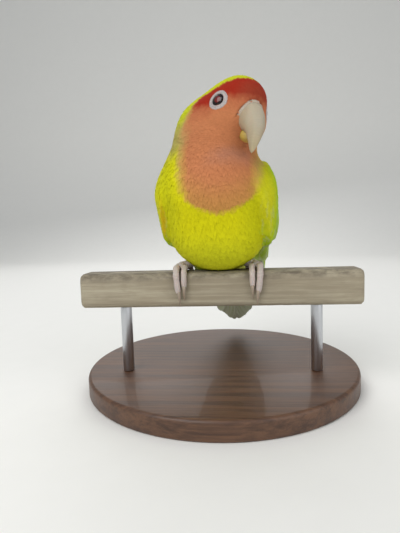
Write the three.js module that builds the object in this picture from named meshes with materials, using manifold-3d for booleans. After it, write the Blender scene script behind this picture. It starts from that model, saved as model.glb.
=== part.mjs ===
// A peach-faced lovebird on a cut length of square wooden perch, held by a plain display stand,
// at life size in millimetres. The bird faces -Y, its left is +X and +Z is up.
// The origin is the middle of the base's underside.
import * as THREE from "three";
import { RoundedBoxGeometry } from "three/addons/geometries/RoundedBoxGeometry.js";
import { mergeVertices } from "three/addons/utils/BufferGeometryUtils.js";
import Module from "manifold-3d";

const wasm = await Module();
wasm.setup();

// Stand and perch
const BASE_RADIUS = 62;
const BASE_THICK = 8;
const PERCH_LENGTH = 120;
const PERCH_SIDE = 15;
const PERCH_ROUND = 2.6;
const PERCH_Y = -13;
const PERCH_TOP = 53;
const ROD_RADIUS = 2.5;
const ROD_X = 42;

// Gap that touching pieces keep
const GAP = 0.3;

// How the bird stands on the perch. Its own frame has its origin on the perch's top, between the feet.
const BODY_YAW = -6;
const FOOT_SPREAD = 15.9;

// Half widths, depths and heights of the rounds that make up the body
const TORSO_RADII = new THREE.Vector3(20.8, 21, 33);
const TORSO_LEAN = 35;
const BREAST_RADII = new THREE.Vector3(20.2, 17.5, 17);
const BELLY_RADII = new THREE.Vector3(19.5, 17, 15.5);
const RUMP_RADII = new THREE.Vector3(12.5, 9.5, 20);
const NECK_FOOT_RADIUS = 15.2;
const NECK_TOP_RADIUS = 12.2;
const NAPE_RADII = new THREE.Vector3(15.8, 14.5, 16);
const CHEEK_RADII = new THREE.Vector3(10.4, 8.4, 8);

// The slanting line that the back, the folded wings and the tail follow
const SHOULDERS = new THREE.Vector3(0, -4, 44);
const BACK_SLOPE = 49;

// Head
const HEAD_CENTRE = new THREE.Vector3(10.2, -7.5, 65);
const HEAD_RADII = new THREE.Vector3(11.2, 14.2, 12.6);
const HEAD_YAW = 35;
const HEAD_PITCH = -9;
const HEAD_ROLL = 8;

// Eyes
const EYE_RADIUS = 3.1;
const EYE_SINK = 1.9;
const EYE_FORWARD = 1.4;
const EYE_UP = 0.5;
const EYE_LOOK = { forward: 0.57, up: 0.25 };
const LID_RADIUS = 3.3;
const LID_THICK = 0.8;

// How far the face narrows between each eye and the bill, and how far round
const LORE_DEPTH = 1;
const LORE_REACH = 4.5;

// The body's surface: its loops, and the shares of them that close it at the rump and over the crown
const BODY_COLUMNS = 32;
const BODY_ROWS = 36;
const RUMP_SHARE = 0.13;
const CROWN_SHARE = 0.27;

// How far the folded wings stay clear of the body under them, and of the middle of the back
const WING_CLEAR = 0.75;
const MIDLINE_GAP = 0.4;

// How thick each wing's plumage lies against the full one, and how far its belly side hangs down
const WING_FULLNESS = { left: 1, right: 0.72 };
const WING_DROOP = { left: 5, right: 0.5 };

// Where the pad over each shoulder starts and ends along the back's line
const PAD_FRONT = -8;
const PAD_END = 41;

// Thickness of a feather's vane
const VANE_THICK = 0.58;

// Tail: where it parts from the torso and ends along the back's line, and how its feathers lie
const TAIL_CUT = 58;
const TAIL_TIP = 110;
const TAIL_HALF_WIDTH = 11.4;
const TAIL_FEATHER_WIDTH = 6.4;
const TAIL_PAIRS = 6;
const TAIL_STEP = 0.3;

// Claws
const CLAW_LENGTH = 4.6;

const { lerp, degToRad } = THREE.MathUtils;
const point = (x, y, z) => new THREE.Vector3(x, y, z);

/** A closed geometry as a solid, turned the right way out. */
function solidOf(geometry) {
  const bare = geometry.clone();
  bare.deleteAttribute("normal");
  bare.deleteAttribute("uv");
  const merged = mergeVertices(bare, 1e-4);
  const corners = Array.from(merged.index.array);
  const place = merged.getAttribute("position");
  const [a, b, c] = [point(0, 0, 0), point(0, 0, 0), point(0, 0, 0)];
  const faces = [];
  let volume = 0;
  for (let i = 0; i < corners.length; i += 3) {
    const [p, q, r] = corners.slice(i, i + 3);
    if (p === q || q === r || r === p) continue;
    faces.push([p, q, r]);
    a.fromBufferAttribute(place, p);
    b.fromBufferAttribute(place, q);
    c.fromBufferAttribute(place, r);
    volume += a.dot(b.cross(c));
  }
  const outward = volume > 0 ? faces : faces.map(([p, q, r]) => [p, r, q]);
  return new wasm.Manifold(
    new wasm.Mesh({
      numProp: 3,
      vertProperties: new Float32Array(place.array),
      triVerts: new Uint32Array(outward.flat()),
    }),
  );
}

/** The largest closed surface of a solid. */
function largestOf(solid) {
  return solid.decompose().reduce((most, next) => (next.volume() > most.volume() ? next : most));
}

/** A named mesh of a solid. */
function meshOf(name, solid, material) {
  const made = largestOf(solid).getMesh();
  const places = new Float32Array(made.numVert * 3);
  for (let i = 0; i < made.numVert; i++) {
    places.set(made.vertProperties.subarray(i * made.numProp, i * made.numProp + 3), i * 3);
  }
  const geometry = new THREE.BufferGeometry();
  geometry.setAttribute("position", new THREE.BufferAttribute(places, 3));
  geometry.setIndex(new THREE.BufferAttribute(made.triVerts, 1));
  geometry.computeVertexNormals();
  const mesh = new THREE.Mesh(geometry, material);
  mesh.name = name;
  return mesh;
}

/** A closed round body: pointAt(turn, way) gives its surface, way running from one pole to the other. */
function roundBody(columns, rows, pointAt) {
  const geometry = new THREE.SphereGeometry(1, columns, rows);
  const place = geometry.getAttribute("position");
  const uv = geometry.getAttribute("uv");
  for (let i = 0; i < place.count; i++) {
    const way = 1 - uv.getY(i);
    const atPole = way < 1e-6 || way > 1 - 1e-6;
    const p = pointAt(atPole ? 0 : uv.getX(i) % 1, way);
    place.setXYZ(i, p.x, p.y, p.z);
  }
  return solidOf(geometry);
}

/** A closed thin body: pointAt(along, across, face) with face -1 below and 1 above, split alike on both. */
function thinBody(rows, columns, pointAt) {
  const places = [];
  const index = [];
  const at = (row, column, face) => (row * (columns + 1) + column) * 2 + (face > 0 ? 1 : 0);
  for (let row = 0; row <= rows; row++) {
    for (let column = 0; column <= columns; column++) {
      for (const face of [-1, 1]) {
        places.push(...pointAt(row / rows, (2 * column) / columns - 1, face).toArray());
      }
    }
  }
  const quad = (a, b, c, d) => index.push(a, b, c, a, c, d);
  for (let row = 0; row < rows; row++) {
    for (let column = 0; column < columns; column++) {
      const corners = (face) => [
        at(row, column, face),
        at(row + 1, column, face),
        at(row + 1, column + 1, face),
        at(row, column + 1, face),
      ];
      quad(...corners(1));
      const [a, b, c, d] = corners(-1);
      index.push(a, c, b, a, d, c);
    }
    quad(at(row, 0, -1), at(row + 1, 0, -1), at(row + 1, 0, 1), at(row, 0, 1));
    quad(at(row, columns, 1), at(row + 1, columns, 1), at(row + 1, columns, -1), at(row, columns, -1));
  }
  for (let column = 0; column < columns; column++) {
    quad(at(0, column, -1), at(0, column, 1), at(0, column + 1, 1), at(0, column + 1, -1));
    quad(at(rows, column, 1), at(rows, column, -1), at(rows, column + 1, -1), at(rows, column + 1, 1));
  }
  const geometry = new THREE.BufferGeometry();
  geometry.setAttribute("position", new THREE.Float32BufferAttribute(places, 3));
  geometry.setIndex(index);
  return solidOf(geometry);
}

/** A closed tube along points, each with its own radius, ending in a point at both ends. */
function taperedTube(points, radii, sides, rows) {
  const path = new THREE.CatmullRomCurve3(points);
  const frames = path.computeFrenetFrames(rows, false);
  const radiusAt = (way) => {
    const place = way * (radii.length - 1);
    const low = Math.min(Math.floor(place), radii.length - 2);
    return lerp(radii[low], radii[low + 1], place - low);
  };
  return roundBody(sides, rows, (turn, way) => {
    const row = Math.round(way * rows);
    const angle = 2 * Math.PI * turn;
    const round = Math.sqrt(Math.max(0, 1 - (2 * way - 1) ** 8));
    const radius = radiusAt(way) * (way < 1e-6 || way > 1 - 1e-6 ? 0 : Math.max(round, 0.5));
    return path
      .getPoint(way)
      .addScaledVector(frames.normals[row], radius * Math.cos(angle))
      .addScaledVector(frames.binormals[row], radius * Math.sin(angle));
  });
}

/** Distance field of an ellipsoid with its own turn. */
function ellipsoid(centre, radii, turn = new THREE.Quaternion()) {
  const back = turn.clone().invert();
  return (p) => {
    const q = p.clone().sub(centre).applyQuaternion(back);
    const near = q.clone().divide(radii);
    const steep = near.clone().divide(radii);
    return (near.length() * (near.length() - 1)) / Math.max(steep.length(), 1e-9);
  };
}

/** Distance field of a rod with a round of its own at each end. */
function taperedRod(start, end, startRadius, endRadius) {
  const run = end.clone().sub(start);
  return (p) => {
    const share = THREE.MathUtils.clamp(p.clone().sub(start).dot(run) / run.lengthSq(), 0, 1);
    return p.distanceTo(start.clone().addScaledVector(run, share)) - lerp(startRadius, endRadius, share);
  };
}

/** Fields melted into one, each with the width of its own blend. */
function melted(first, ...others) {
  return (p) =>
    others.reduce((depth, [field, width]) => {
      const next = field(p);
      const mix = Math.max(width - Math.abs(depth - next), 0) / width;
      return Math.min(depth, next) - (mix * mix * width) / 4;
    }, first(p));
}

/** The first point from origin along direction where the field reaches the offset. */
function surfaceFrom(field, origin, direction, offset = 0) {
  const step = 1.5;
  let reach = 0;
  while (reach < 70 && field(origin.clone().addScaledVector(direction, reach)) < offset) reach += step;
  let [low, high] = [Math.max(reach - step, 0), reach];
  for (let i = 0; i < 18; i++) {
    const middle = (low + high) / 2;
    if (field(origin.clone().addScaledVector(direction, middle)) < offset) low = middle;
    else high = middle;
  }
  return origin.clone().addScaledVector(direction, (low + high) / 2);
}

const lean = (degrees) => new THREE.Quaternion().setFromAxisAngle(point(1, 0, 0), degToRad(degrees));

// Directions of the back's line: down it, square off it, and to the bird's left
const slope = degToRad(BACK_SLOPE);
const tailward = point(0, Math.cos(slope), -Math.sin(slope));
const dorsal = point(0, Math.sin(slope), Math.cos(slope));
const leftward = point(1, 0, 0);

// The head's own directions: forward along the bill, to its left, and up through the crown
const headTurn = new THREE.Quaternion()
  .setFromAxisAngle(point(0, 0, 1), degToRad(HEAD_YAW))
  .multiply(new THREE.Quaternion().setFromAxisAngle(point(1, 0, 0), degToRad(-HEAD_PITCH)))
  .multiply(new THREE.Quaternion().setFromAxisAngle(point(0, 1, 0), degToRad(HEAD_ROLL)));
const inHead = (forward, left, up) =>
  point(left, -forward, up).applyQuaternion(headTurn).add(HEAD_CENTRE);
const headWay = (forward, left, up) => point(left, -forward, up).applyQuaternion(headTurn);

// The body as melted rounds: torso, breast, belly, rump, neck, nape, head and cheeks
const roundedField = melted(
  ellipsoid(point(0, 2, 28.5), TORSO_RADII, lean(TORSO_LEAN)),
  [ellipsoid(point(-1, -7, 35), BREAST_RADII), 8],
  [ellipsoid(point(0, 0, 17), BELLY_RADII), 8],
  [ellipsoid(point(0, 27, 7), RUMP_RADII, lean(90 - BACK_SLOPE)), 10],
  [taperedRod(point(-2.2, -1, 44), point(3.6, -4, 58), NECK_FOOT_RADIUS, NECK_TOP_RADIUS), 8],
  [ellipsoid(point(-1.1, 1.5, 57.3), NAPE_RADII), 7],
  [ellipsoid(HEAD_CENTRE, HEAD_RADII, headTurn), 7],
  [ellipsoid(inHead(3, 0, -4), CHEEK_RADII, headTurn), 4],
);

// The same with its face narrower between each eye and the bill
const lores = [-1, 1].map((side) => inHead(9.5, side * 8.8, 0));
const bodyField = (p) =>
  lores.reduce(
    (depth, lore) => depth + LORE_DEPTH * Math.exp(-lore.distanceToSquared(p) / LORE_REACH ** 2),
    roundedField(p),
  );

// The line inside the body from which its surface is found
const spine = new THREE.CatmullRomCurve3([
  point(0, 24, 9),
  point(0, 14, 20),
  point(0, 3, 32),
  point(0.2, -3, 45),
  point(4.3, -5.4, 56),
  HEAD_CENTRE.clone(),
]);

/** The whole body's surface, or one that lies offset outside it. */
function wholeBody(offset = 0, columns = BODY_COLUMNS, rows = BODY_ROWS) {
  return roundBody(columns, rows, (turn, way) => {
    const place = THREE.MathUtils.clamp((way - RUMP_SHARE) / (1 - RUMP_SHARE - CROWN_SHARE), 0, 1);
    const origin = spine.getPoint(place);
    const ahead = spine.getTangent(place);
    const side = leftward.clone().projectOnPlane(ahead).normalize();
    const up = ahead.clone().cross(side).negate();
    let tilt = 0;
    if (way < RUMP_SHARE) tilt = (-Math.PI / 2) * (1 - way / RUMP_SHARE);
    if (way > 1 - CROWN_SHARE) tilt = (Math.PI / 2) * (1 - (1 - way) / CROWN_SHARE);
    const angle = 2 * Math.PI * turn;
    const outward = side.multiplyScalar(Math.cos(angle)).addScaledVector(up, Math.sin(angle));
    const direction = outward.multiplyScalar(Math.cos(tilt)).addScaledVector(ahead, Math.sin(tilt));
    return surfaceFrom(bodyField, origin, direction.normalize(), offset);
  });
}

// What the folded wings lie on: the body, drawn out towards the tail
const onBackLine = (along) => SHOULDERS.clone().addScaledVector(tailward, along);
const carrierField = melted(bodyField, [
  ellipsoid(onBackLine(50), point(17.5, 6.6, 54), lean(90 - BACK_SLOPE)),
  8,
]);

/**
 * A point over the carrier: along the back's line in mm, around it in degrees from the back,
 * and above it in mm.
 */
function overCarrier(side, along, around, above) {
  const angle = degToRad(around);
  const direction = dorsal
    .clone()
    .multiplyScalar(Math.cos(angle))
    .addScaledVector(leftward, side * Math.sin(angle));
  const p = surfaceFrom(carrierField, onBackLine(along), direction, above);
  p.x = side * Math.max(side * p.x, MIDLINE_GAP);
  return p;
}

/** A smooth curve through pairs of place and value. */
function profile(...pairs) {
  const curve = new THREE.SplineCurve(pairs.map(([x, y]) => new THREE.Vector2(x, y)));
  const [first, last] = [pairs[0][0], pairs[pairs.length - 1][0]];
  return (x) => {
    let [low, high] = [0, 1];
    const wanted = THREE.MathUtils.clamp(x, first, last);
    for (let i = 0; i < 20; i++) {
      const middle = (low + high) / 2;
      if (curve.getPoint(middle).x < wanted) low = middle;
      else high = middle;
    }
    return curve.getPoint((low + high) / 2).y;
  };
}

// Folded wings: a pad over each shoulder, out of which the feathers grow in tiers.
// Places run along the back's line in mm and around it in degrees from the middle of the back.
const wingUpperEdge = profile(
  [-8, 112],
  [-5, 100],
  [0, 79],
  [5, 54],
  [12, 30],
  [25, 15],
  [60, 13],
  [92, 22],
);
const wingLowerEdge = profile(
  [-8, 122],
  [-5, 131],
  [1, 136],
  [12, 138],
  [25, 137],
  [41, 120],
  [55, 101],
  [75, 85],
  [92, 72],
);
const padThick = profile([-8, 0.4], [-4, 1.1], [5, 2.3], [16, 2.9], [30, 2.4], [41, 0.9]);

const sideName = (side) => (side > 0 ? "left" : "right");

/** How full the wing is at a place on it, from 1 in its middle to less at its edges. */
function fullnessAt(place, around) {
  const upper = wingUpperEdge(place);
  const lower = wingLowerEdge(place);
  const across = THREE.MathUtils.clamp((2 * (around - upper)) / (lower - upper) - 1, -1, 1);
  return 1 - 0.72 * across ** 4;
}

function wingPad(side) {
  return thinBody(10, 6, (along, across, face) => {
    const place = lerp(PAD_FRONT, PAD_END, along);
    const around = lerp(wingUpperEdge(place), wingLowerEdge(place), (across + 1) / 2);
    const full = fullnessAt(place, around) * WING_FULLNESS[sideName(side)];
    const above = WING_CLEAR + (face < 0 ? 0 : Math.max(0.6, padThick(place) * full));
    return overCarrier(side, place, around, above);
  });
}

// One feather's vane: where its loops lie from root to tip, and how wide and thick it is there
const VANE_STEPS = [0, 0.4, 0.74, 0.93, 1];
const VANE_WIDTHS = [0.5, 1, 0.98, 0.68, 0.22];
const VANE_THICKS = [1, 1, 0.95, 0.8, 0.6];

/**
 * A tier of feathers, the first nearest the back and the last nearest the belly.
 * Each pair of numbers is the first feather's value and the last one's. The edge towards the belly
 * lies over the next feather, rise mm higher than the edge towards the back.
 */
const WING_TIERS = {
  primaries: {
    count: 5,
    rootAlong: [36, 39],
    rootAround: [60, 104],
    tipAlong: [70, 92],
    tipAround: [36, 62],
    width: [6.8, 6.2],
    rootLift: [1.2, 1],
    tipLift: [1, 0.9],
    rise: 0.6,
  },
  secondaries: {
    count: 6,
    rootAlong: [26, 34],
    rootAround: [24, 116],
    tipAlong: [63, 50],
    tipAround: [24, 104],
    width: [9.8, 9],
    rootLift: [2, 1.6],
    tipLift: [2.5, 2.3],
    rise: 0.7,
  },
  greaterCoverts: {
    count: 5,
    rootAlong: [19, 21],
    rootAround: [27, 119],
    tipAlong: [42, 36],
    tipAround: [25, 116],
    width: [12.4, 11.2],
    rootLift: [2.6, 2.6],
    tipLift: [3.7, 3.6],
    rise: 0.6,
  },
  medianCoverts: {
    count: 4,
    rootAlong: [11, 10],
    rootAround: [34, 119],
    tipAlong: [28, 24],
    tipAround: [28, 121],
    width: [14.6, 13.2],
    rootLift: [2, 2],
    tipLift: [4.4, 4.3],
    rise: 0.6,
  },
  lesserCoverts: {
    count: 4,
    rootAlong: [4, 1],
    rootAround: [56, 117],
    tipAlong: [17, 13],
    tipAround: [38, 124],
    width: [12.6, 11.4],
    rootLift: [1.2, 1.2],
    tipLift: [4, 3.8],
    rise: 0.5,
  },
};

/** A small seeded source of numbers from -1 to 1. */
function jitterFrom(seed) {
  let state = seed;
  return () => {
    state = (state * 16807) % 2147483647;
    return (2 * state) / 2147483647 - 1;
  };
}

function wingVane(side, tier, share, jitter) {
  const droop = WING_DROOP[sideName(side)] * share ** 2;
  const value = ([first, last]) => lerp(first, last, share);
  const tipAlong = value(tier.tipAlong) + 0.8 * jitter();
  const width = value(tier.width) * (1 + 0.05 * jitter());
  return thinBody(VANE_STEPS.length - 1, 2, (along, across, face) => {
    const row = Math.round(along * (VANE_STEPS.length - 1));
    const way = VANE_STEPS[row] - (row === VANE_STEPS.length - 2 ? 0.05 * across * across : 0);
    const place = lerp(value(tier.rootAlong), tipAlong, way) + 0.7 * droop * way;
    const middle = lerp(value(tier.rootAround), value(tier.tipAround), way);
    const reach = overCarrier(side, place, middle, 0).distanceTo(onBackLine(place));
    const half = (width * VANE_WIDTHS[row]) / 2;
    const around = middle + THREE.MathUtils.radToDeg((across * half) / reach);
    const lift = lerp(value(tier.rootLift), value(tier.tipLift), Math.sqrt(way)) - WING_CLEAR;
    const full = fullnessAt(place, middle) * WING_FULLNESS[sideName(side)];
    const above = WING_CLEAR + lift * full + (tier.rise * (across + 1)) / 2 + 0.1 * droop * way;
    return overCarrier(side, place, around, above + (face > 0 ? VANE_THICK * VANE_THICKS[row] : 0));
  });
}

function wing(side) {
  const jitter = jitterFrom(side > 0 ? 4127 : 9319);
  let solid = wingPad(side);
  for (const tier of Object.values(WING_TIERS)) {
    for (let i = 0; i < tier.count; i++) {
      solid = solid.add(wingVane(side, tier, i / (tier.count - 1), jitter));
    }
  }
  return solid;
}

// Tail: a plug of the rump with twelve long feathers, and coverts over and under their roots
const TAIL_TIERS = [
  { count: 3, root: 59, tip: 84, spread: 4, width: 7, rootLift: 2.4, tipLift: 2.6, arch: -0.07 },
  { count: 3, root: 59, tip: 88, spread: 4.2, width: 7.2, rootLift: -3.4, tipLift: -1.9, arch: 0.05 },
];

/** A feather of the tail, flat and straight, from one place beside the back's line to another. */
function tailVane({ root, tip, rootAside, tipAside, width, rootLift, tipLift }) {
  return thinBody(VANE_STEPS.length - 1, 1, (along, across, face) => {
    const row = Math.round(along * (VANE_STEPS.length - 1));
    const way = VANE_STEPS[row];
    const half = (width * VANE_WIDTHS[row]) / 2;
    const lift = lerp(rootLift, tipLift, way) + (face > 0 ? VANE_THICK * VANE_THICKS[row] : 0);
    return onBackLine(lerp(root, tip, way))
      .addScaledVector(leftward, lerp(rootAside, tipAside, way) + across * half)
      .addScaledVector(dorsal, lift);
  });
}

function tail(core) {
  const jitter = jitterFrom(2749);
  let solid = core;
  for (let pair = 0; pair < TAIL_PAIRS; pair++) {
    for (const side of [-1, 1]) {
      const share = pair / (TAIL_PAIRS - 1);
      const lift = TAIL_STEP * (TAIL_PAIRS - 1 - pair) + (side > 0 ? 0.12 : 0);
      solid = solid.add(
        tailVane({
          root: 60,
          tip: TAIL_TIP - 9.5 * share ** 1.3 + 0.5 * jitter(),
          rootAside: side * lerp(0.8, 4.2, share),
          tipAside: side * lerp(1.6, TAIL_HALF_WIDTH - 3.2, share),
          width: TAIL_FEATHER_WIDTH,
          rootLift: lift - 0.4,
          tipLift: lift,
        }),
      );
    }
  }
  for (const tier of TAIL_TIERS) {
    for (let i = 0; i < tier.count; i++) {
      const aside = (2 * i) / (tier.count - 1) - 1;
      const drop = tier.arch * (aside * tier.spread) ** 2;
      solid = solid.add(
        tailVane({
          root: tier.root,
          tip: tier.tip - 5 * aside * aside + 0.6 * jitter(),
          rootAside: aside * tier.spread * 0.8,
          tipAside: aside * tier.spread,
          width: tier.width,
          rootLift: tier.rootLift + drop,
          tipLift: tier.tipLift + drop,
        }),
      );
    }
  }
  return solid;
}

// Materials
const paint = (colour, roughness = 0.7, metalness = 0) =>
  new THREE.MeshStandardMaterial({ color: colour, roughness, metalness });
const RED_FACE = paint(0xc8492c);
const PEACH = paint(0xd98862);
const YELLOW = paint(0xd6cf1c);
const WING_YELLOW = paint(0xc6d22a);
const TAIL_YELLOW = paint(0xc4cf7a);
const HORN = paint(0xd9cfb8, 0.35);
const SKIN = paint(0xc9aaa2, 0.6);
const CLAW = paint(0x8d7f78, 0.4);
const EYE = paint(0x2a0d0b, 0.08);
const WOOD = paint(0xb9a684, 0.85);
const WALNUT = paint(0x4a3224, 0.45);
const STEEL = paint(0xb8babd, 0.3, 1);

/** A disc or rod standing upright, with its edges taken off a little. */
function turnedPiece(x, y, foot, top, radius, edge, sides) {
  const section = [
    new THREE.Vector2(0, foot),
    new THREE.Vector2(radius - edge * 0.5, foot),
    new THREE.Vector2(radius, foot + edge * 0.5),
    new THREE.Vector2(radius, top - edge),
    new THREE.Vector2(radius - edge, top),
    new THREE.Vector2(0, top),
  ];
  const lathe = new THREE.LatheGeometry(section, sides);
  lathe.rotateX(Math.PI / 2);
  return solidOf(lathe.translate(x, y, 0));
}

/** The perch: a square bar with rounded long edges, sawn straight at both ends. */
function perchBar() {
  const bar = new RoundedBoxGeometry(PERCH_LENGTH, PERCH_SIDE, PERCH_SIDE, 2, PERCH_ROUND);
  return solidOf(bar.translate(0, PERCH_Y, PERCH_TOP - PERCH_SIDE / 2));
}

const bird = new THREE.Group();
bird.position.set(0, PERCH_Y, PERCH_TOP);
bird.rotation.z = degToRad(BODY_YAW);

// Perch directions as the bird's own frame has them
const perchToBird = new THREE.Matrix4().makeRotationZ(degToRad(-BODY_YAW));
const inPerch = (x, y, z) => point(x, y, z).applyMatrix4(perchToBird);

/** The perch as a box, grown by a margin, in the bird's frame. */
function perchBlock(margin) {
  const side = PERCH_SIDE + 2 * margin;
  const block = new THREE.BoxGeometry(PERCH_LENGTH + 2 * margin, side, side);
  return solidOf(block.translate(0, 0, -PERCH_SIDE / 2).applyMatrix4(perchToBird));
}

// The body, parted into head, neck, torso and the plug that carries the tail
const NECK_TOP = { normal: point(0.45, -0.28, 0.85).normalize(), through: point(7.5, -8.5, 56.5) };
const NECK_FOOT = { normal: point(0.12, -0.2, 0.97).normalize(), through: point(2, -5, 45) };
const TAIL_ROOT = { normal: tailward.clone(), through: onBackLine(TAIL_CUT) };

/** The part of a solid beyond a plane, or before it with way -1, half a gap clear of it. */
function beyond(solid, { normal, through }, way) {
  const facing = normal.clone().multiplyScalar(way);
  return solid.trimByPlane(facing.toArray(), facing.dot(through) + GAP / 2);
}

const whole = wholeBody();
const headSolid = beyond(whole, NECK_TOP, 1);
const neckSolid = beyond(beyond(whole, NECK_TOP, -1), NECK_FOOT, 1);
const torsoSolid = beyond(beyond(whole, NECK_FOOT, -1), TAIL_ROOT, -1).subtract(perchBlock(GAP));
const tailCore = beyond(beyond(whole, NECK_FOOT, -1), TAIL_ROOT, 1);

// Eyes with their bare rings of lid
function eyePlace(side) {
  const outward = headWay(0.3, side, 0.04).normalize();
  const direction = headWay(EYE_LOOK.forward, side, EYE_LOOK.up).normalize();
  const surface = surfaceFrom(bodyField, inHead(EYE_FORWARD, 0, EYE_UP), outward);
  return { direction, centre: surface.addScaledVector(direction, -EYE_SINK) };
}

function eyeParts(side) {
  const { direction, centre } = eyePlace(side);
  const ball = (radius) => {
    const sphere = new THREE.SphereGeometry(radius, 12, 9);
    return solidOf(sphere.translate(centre.x, centre.y, centre.z));
  };
  const section = [];
  for (let i = 0; i <= 6; i++) {
    const angle = (2 * Math.PI * i) / 6;
    const reach = LID_RADIUS + LID_THICK * Math.cos(angle);
    section.push(new THREE.Vector2(reach, LID_THICK * 0.8 * Math.sin(angle)));
  }
  const ring = new THREE.LatheGeometry(section, 16);
  const turn = new THREE.Quaternion().setFromUnitVectors(point(0, 1, 0), direction);
  const seat = centre.clone().addScaledVector(direction, EYE_SINK - 0.45);
  ring.applyMatrix4(new THREE.Matrix4().compose(seat, turn, point(1, 1, 1)));
  return { ball: ball(EYE_RADIUS), socket: ball(EYE_RADIUS + GAP), lid: solidOf(ring) };
}

// Bill: profiles in the head's own frame, forward and up, from the face to the tip
const culmen = new THREE.CatmullRomCurve3([
  point(10.6, 0, 2.2),
  point(14.2, 0, 1.4),
  point(17.6, 0, -1.8),
  point(19.3, 0, -6.8),
  point(19, 0, -12.2),
  point(17.5, 0, -17),
]);
const cuttingEdge = new THREE.CatmullRomCurve3([
  point(6, 0, -8),
  point(10, 0, -8.8),
  point(13, 0, -9.6),
  point(15, 0, -10.6),
  point(16.1, 0, -13.2),
  point(17, 0, -16.8),
]);
const billHalfWidth = profile([0, 5], [0.25, 4.9], [0.5, 4.3], [0.75, 2.7], [0.92, 1.3], [1, 0.5]);

/** The upper half of the bill, or one grown by a margin. */
function upperBill(margin = 0) {
  return roundBody(14, 13, (turn, way) => {
    const top = culmen.getPoint(way);
    const bottom = cuttingEdge.getPoint(way);
    const middle = top.clone().add(bottom).multiplyScalar(0.5);
    const end = way < 1e-6 || way > 1 - 1e-6 ? 0 : 1;
    const angle = 2 * Math.PI * turn;
    const upward = Math.cos(angle);
    const outward = Math.sin(angle);
    const lift = Math.sign(upward) * Math.abs(upward) ** 0.85;
    const rise = top.clone().sub(middle);
    const p = middle.add(rise.setLength(rise.length() + margin).multiplyScalar(end * lift));
    const ridge = upward > 0 ? 1 - 0.22 * upward : 1;
    const half = billHalfWidth(way) + margin;
    const reach = half * end * Math.sign(outward) * Math.abs(outward) ** 0.8 * ridge;
    return inHead(p.x, reach, p.z);
  });
}

/** The bare band over the bill's root, with a nostril in each half. */
function cere() {
  const turn = (solid) =>
    solid.applyMatrix4(new THREE.Matrix4().compose(inHead(12.9, 0, 0.9), headTurn, point(1, 1, 1)));
  const band = solidOf(turn(new THREE.SphereGeometry(1, 14, 8).scale(4.2, 1.7, 1.6)));
  return [-1, 1].reduce((solid, side) => {
    const at = inHead(13.6, side * 2, 2.2);
    const pit = new THREE.SphereGeometry(0.55, 8, 6).translate(at.x, at.y, at.z);
    return solid.subtract(solidOf(pit));
  }, band);
}

// The lower half of the bill lies up against the upper one
const chinTop = new THREE.CatmullRomCurve3([
  point(6, 0, -6.6),
  point(11, 0, -7),
  point(13.8, 0, -8.2),
  point(15.6, 0, -10),
]);
const chinBottom = new THREE.CatmullRomCurve3([
  point(6, 0, -11),
  point(10, 0, -12.6),
  point(13.2, 0, -13),
  point(15.6, 0, -11.8),
]);
const chinHalfWidth = profile([0, 3.6], [0.4, 3.6], [0.75, 3], [1, 1.6]);

function lowerBill() {
  return roundBody(12, 9, (turn, way) => {
    const above = chinTop.getPoint(way);
    const below = chinBottom.getPoint(way);
    const middle = above.clone().add(below).multiplyScalar(0.5);
    const end = way < 1e-6 || way > 1 - 1e-6 ? 0 : 1;
    const angle = 2 * Math.PI * turn;
    const p = middle.add(above.sub(middle).multiplyScalar(end * Math.cos(angle)));
    return inHead(p.x, chinHalfWidth(way) * end * Math.sin(angle), p.z);
  }).subtract(upperBill(GAP));
}

// Feet: two toes over the front of the perch and two over its back, on each side
const TOES = [
  { name: "outer_front", way: -1, aside: 1.9, reach: 18, radius: 1.35, splay: -1.1 },
  { name: "inner_front", way: -1, aside: -1.6, reach: 15.5, radius: 1.25, splay: 0 },
  { name: "outer_back", way: 1, aside: 2.2, reach: 13.5, radius: 1.3, splay: 1.6 },
  { name: "inner_back", way: 1, aside: -1.9, reach: 8.5, radius: 1.2, splay: -1.2 },
];

/** A place on the way over the perch's edge: reach along its skin from the middle of its top, out by off. */
function overEdge(way, reach, off) {
  const flat = PERCH_SIDE / 2 - PERCH_ROUND;
  const arc = (PERCH_ROUND + off) * (Math.PI / 2);
  if (reach < flat) return { y: way * reach, z: off };
  if (reach < flat + arc) {
    const angle = (reach - flat) / (PERCH_ROUND + off);
    return {
      y: way * (flat + (PERCH_ROUND + off) * Math.sin(angle)),
      z: (PERCH_ROUND + off) * Math.cos(angle) - PERCH_ROUND,
    };
  }
  return { y: way * (PERCH_SIDE / 2 + off), z: -PERCH_ROUND - (reach - flat - arc) };
}

function toeParts(side, toe) {
  const middle = side * FOOT_SPREAD;
  const from = 2.2;
  const count = 8;
  const off = (share) => toe.radius + GAP + (share < 0.2 ? 0.25 : 0);
  const skin = (reach, share, out) => {
    const { y, z } = overEdge(toe.way, reach, out);
    return inPerch(middle + side * (toe.aside + toe.splay * share * share), y, z);
  };
  const points = [];
  for (let i = 0; i <= count; i++) {
    const share = i / count;
    points.push(skin(lerp(from, toe.reach, share), share, off(share)));
  }
  const pads = [1.05, 1, 1.05, 0.92, 1.02, 0.9, 0.98, 0.86, 0.7].map((size) => size * toe.radius);
  const clawPoints = [];
  for (let i = 0; i <= 4; i++) {
    const share = i / 4;
    const out = off(1) + 0.5 * Math.sin(Math.PI * share) - 0.5 * share;
    clawPoints.push(skin(toe.reach - 0.4 + CLAW_LENGTH * share, 1 + 0.25 * share, out));
  }
  const flesh = taperedTube(points, pads, 7, 9);
  const cutter = taperedTube(points, pads.map((size) => size + GAP), 7, 9);
  const claw = taperedTube(clawPoints, [0.85, 0.75, 0.6, 0.42, 0.2], 6, 5);
  return { flesh, cutter, claw: claw.subtract(cutter) };
}

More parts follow.
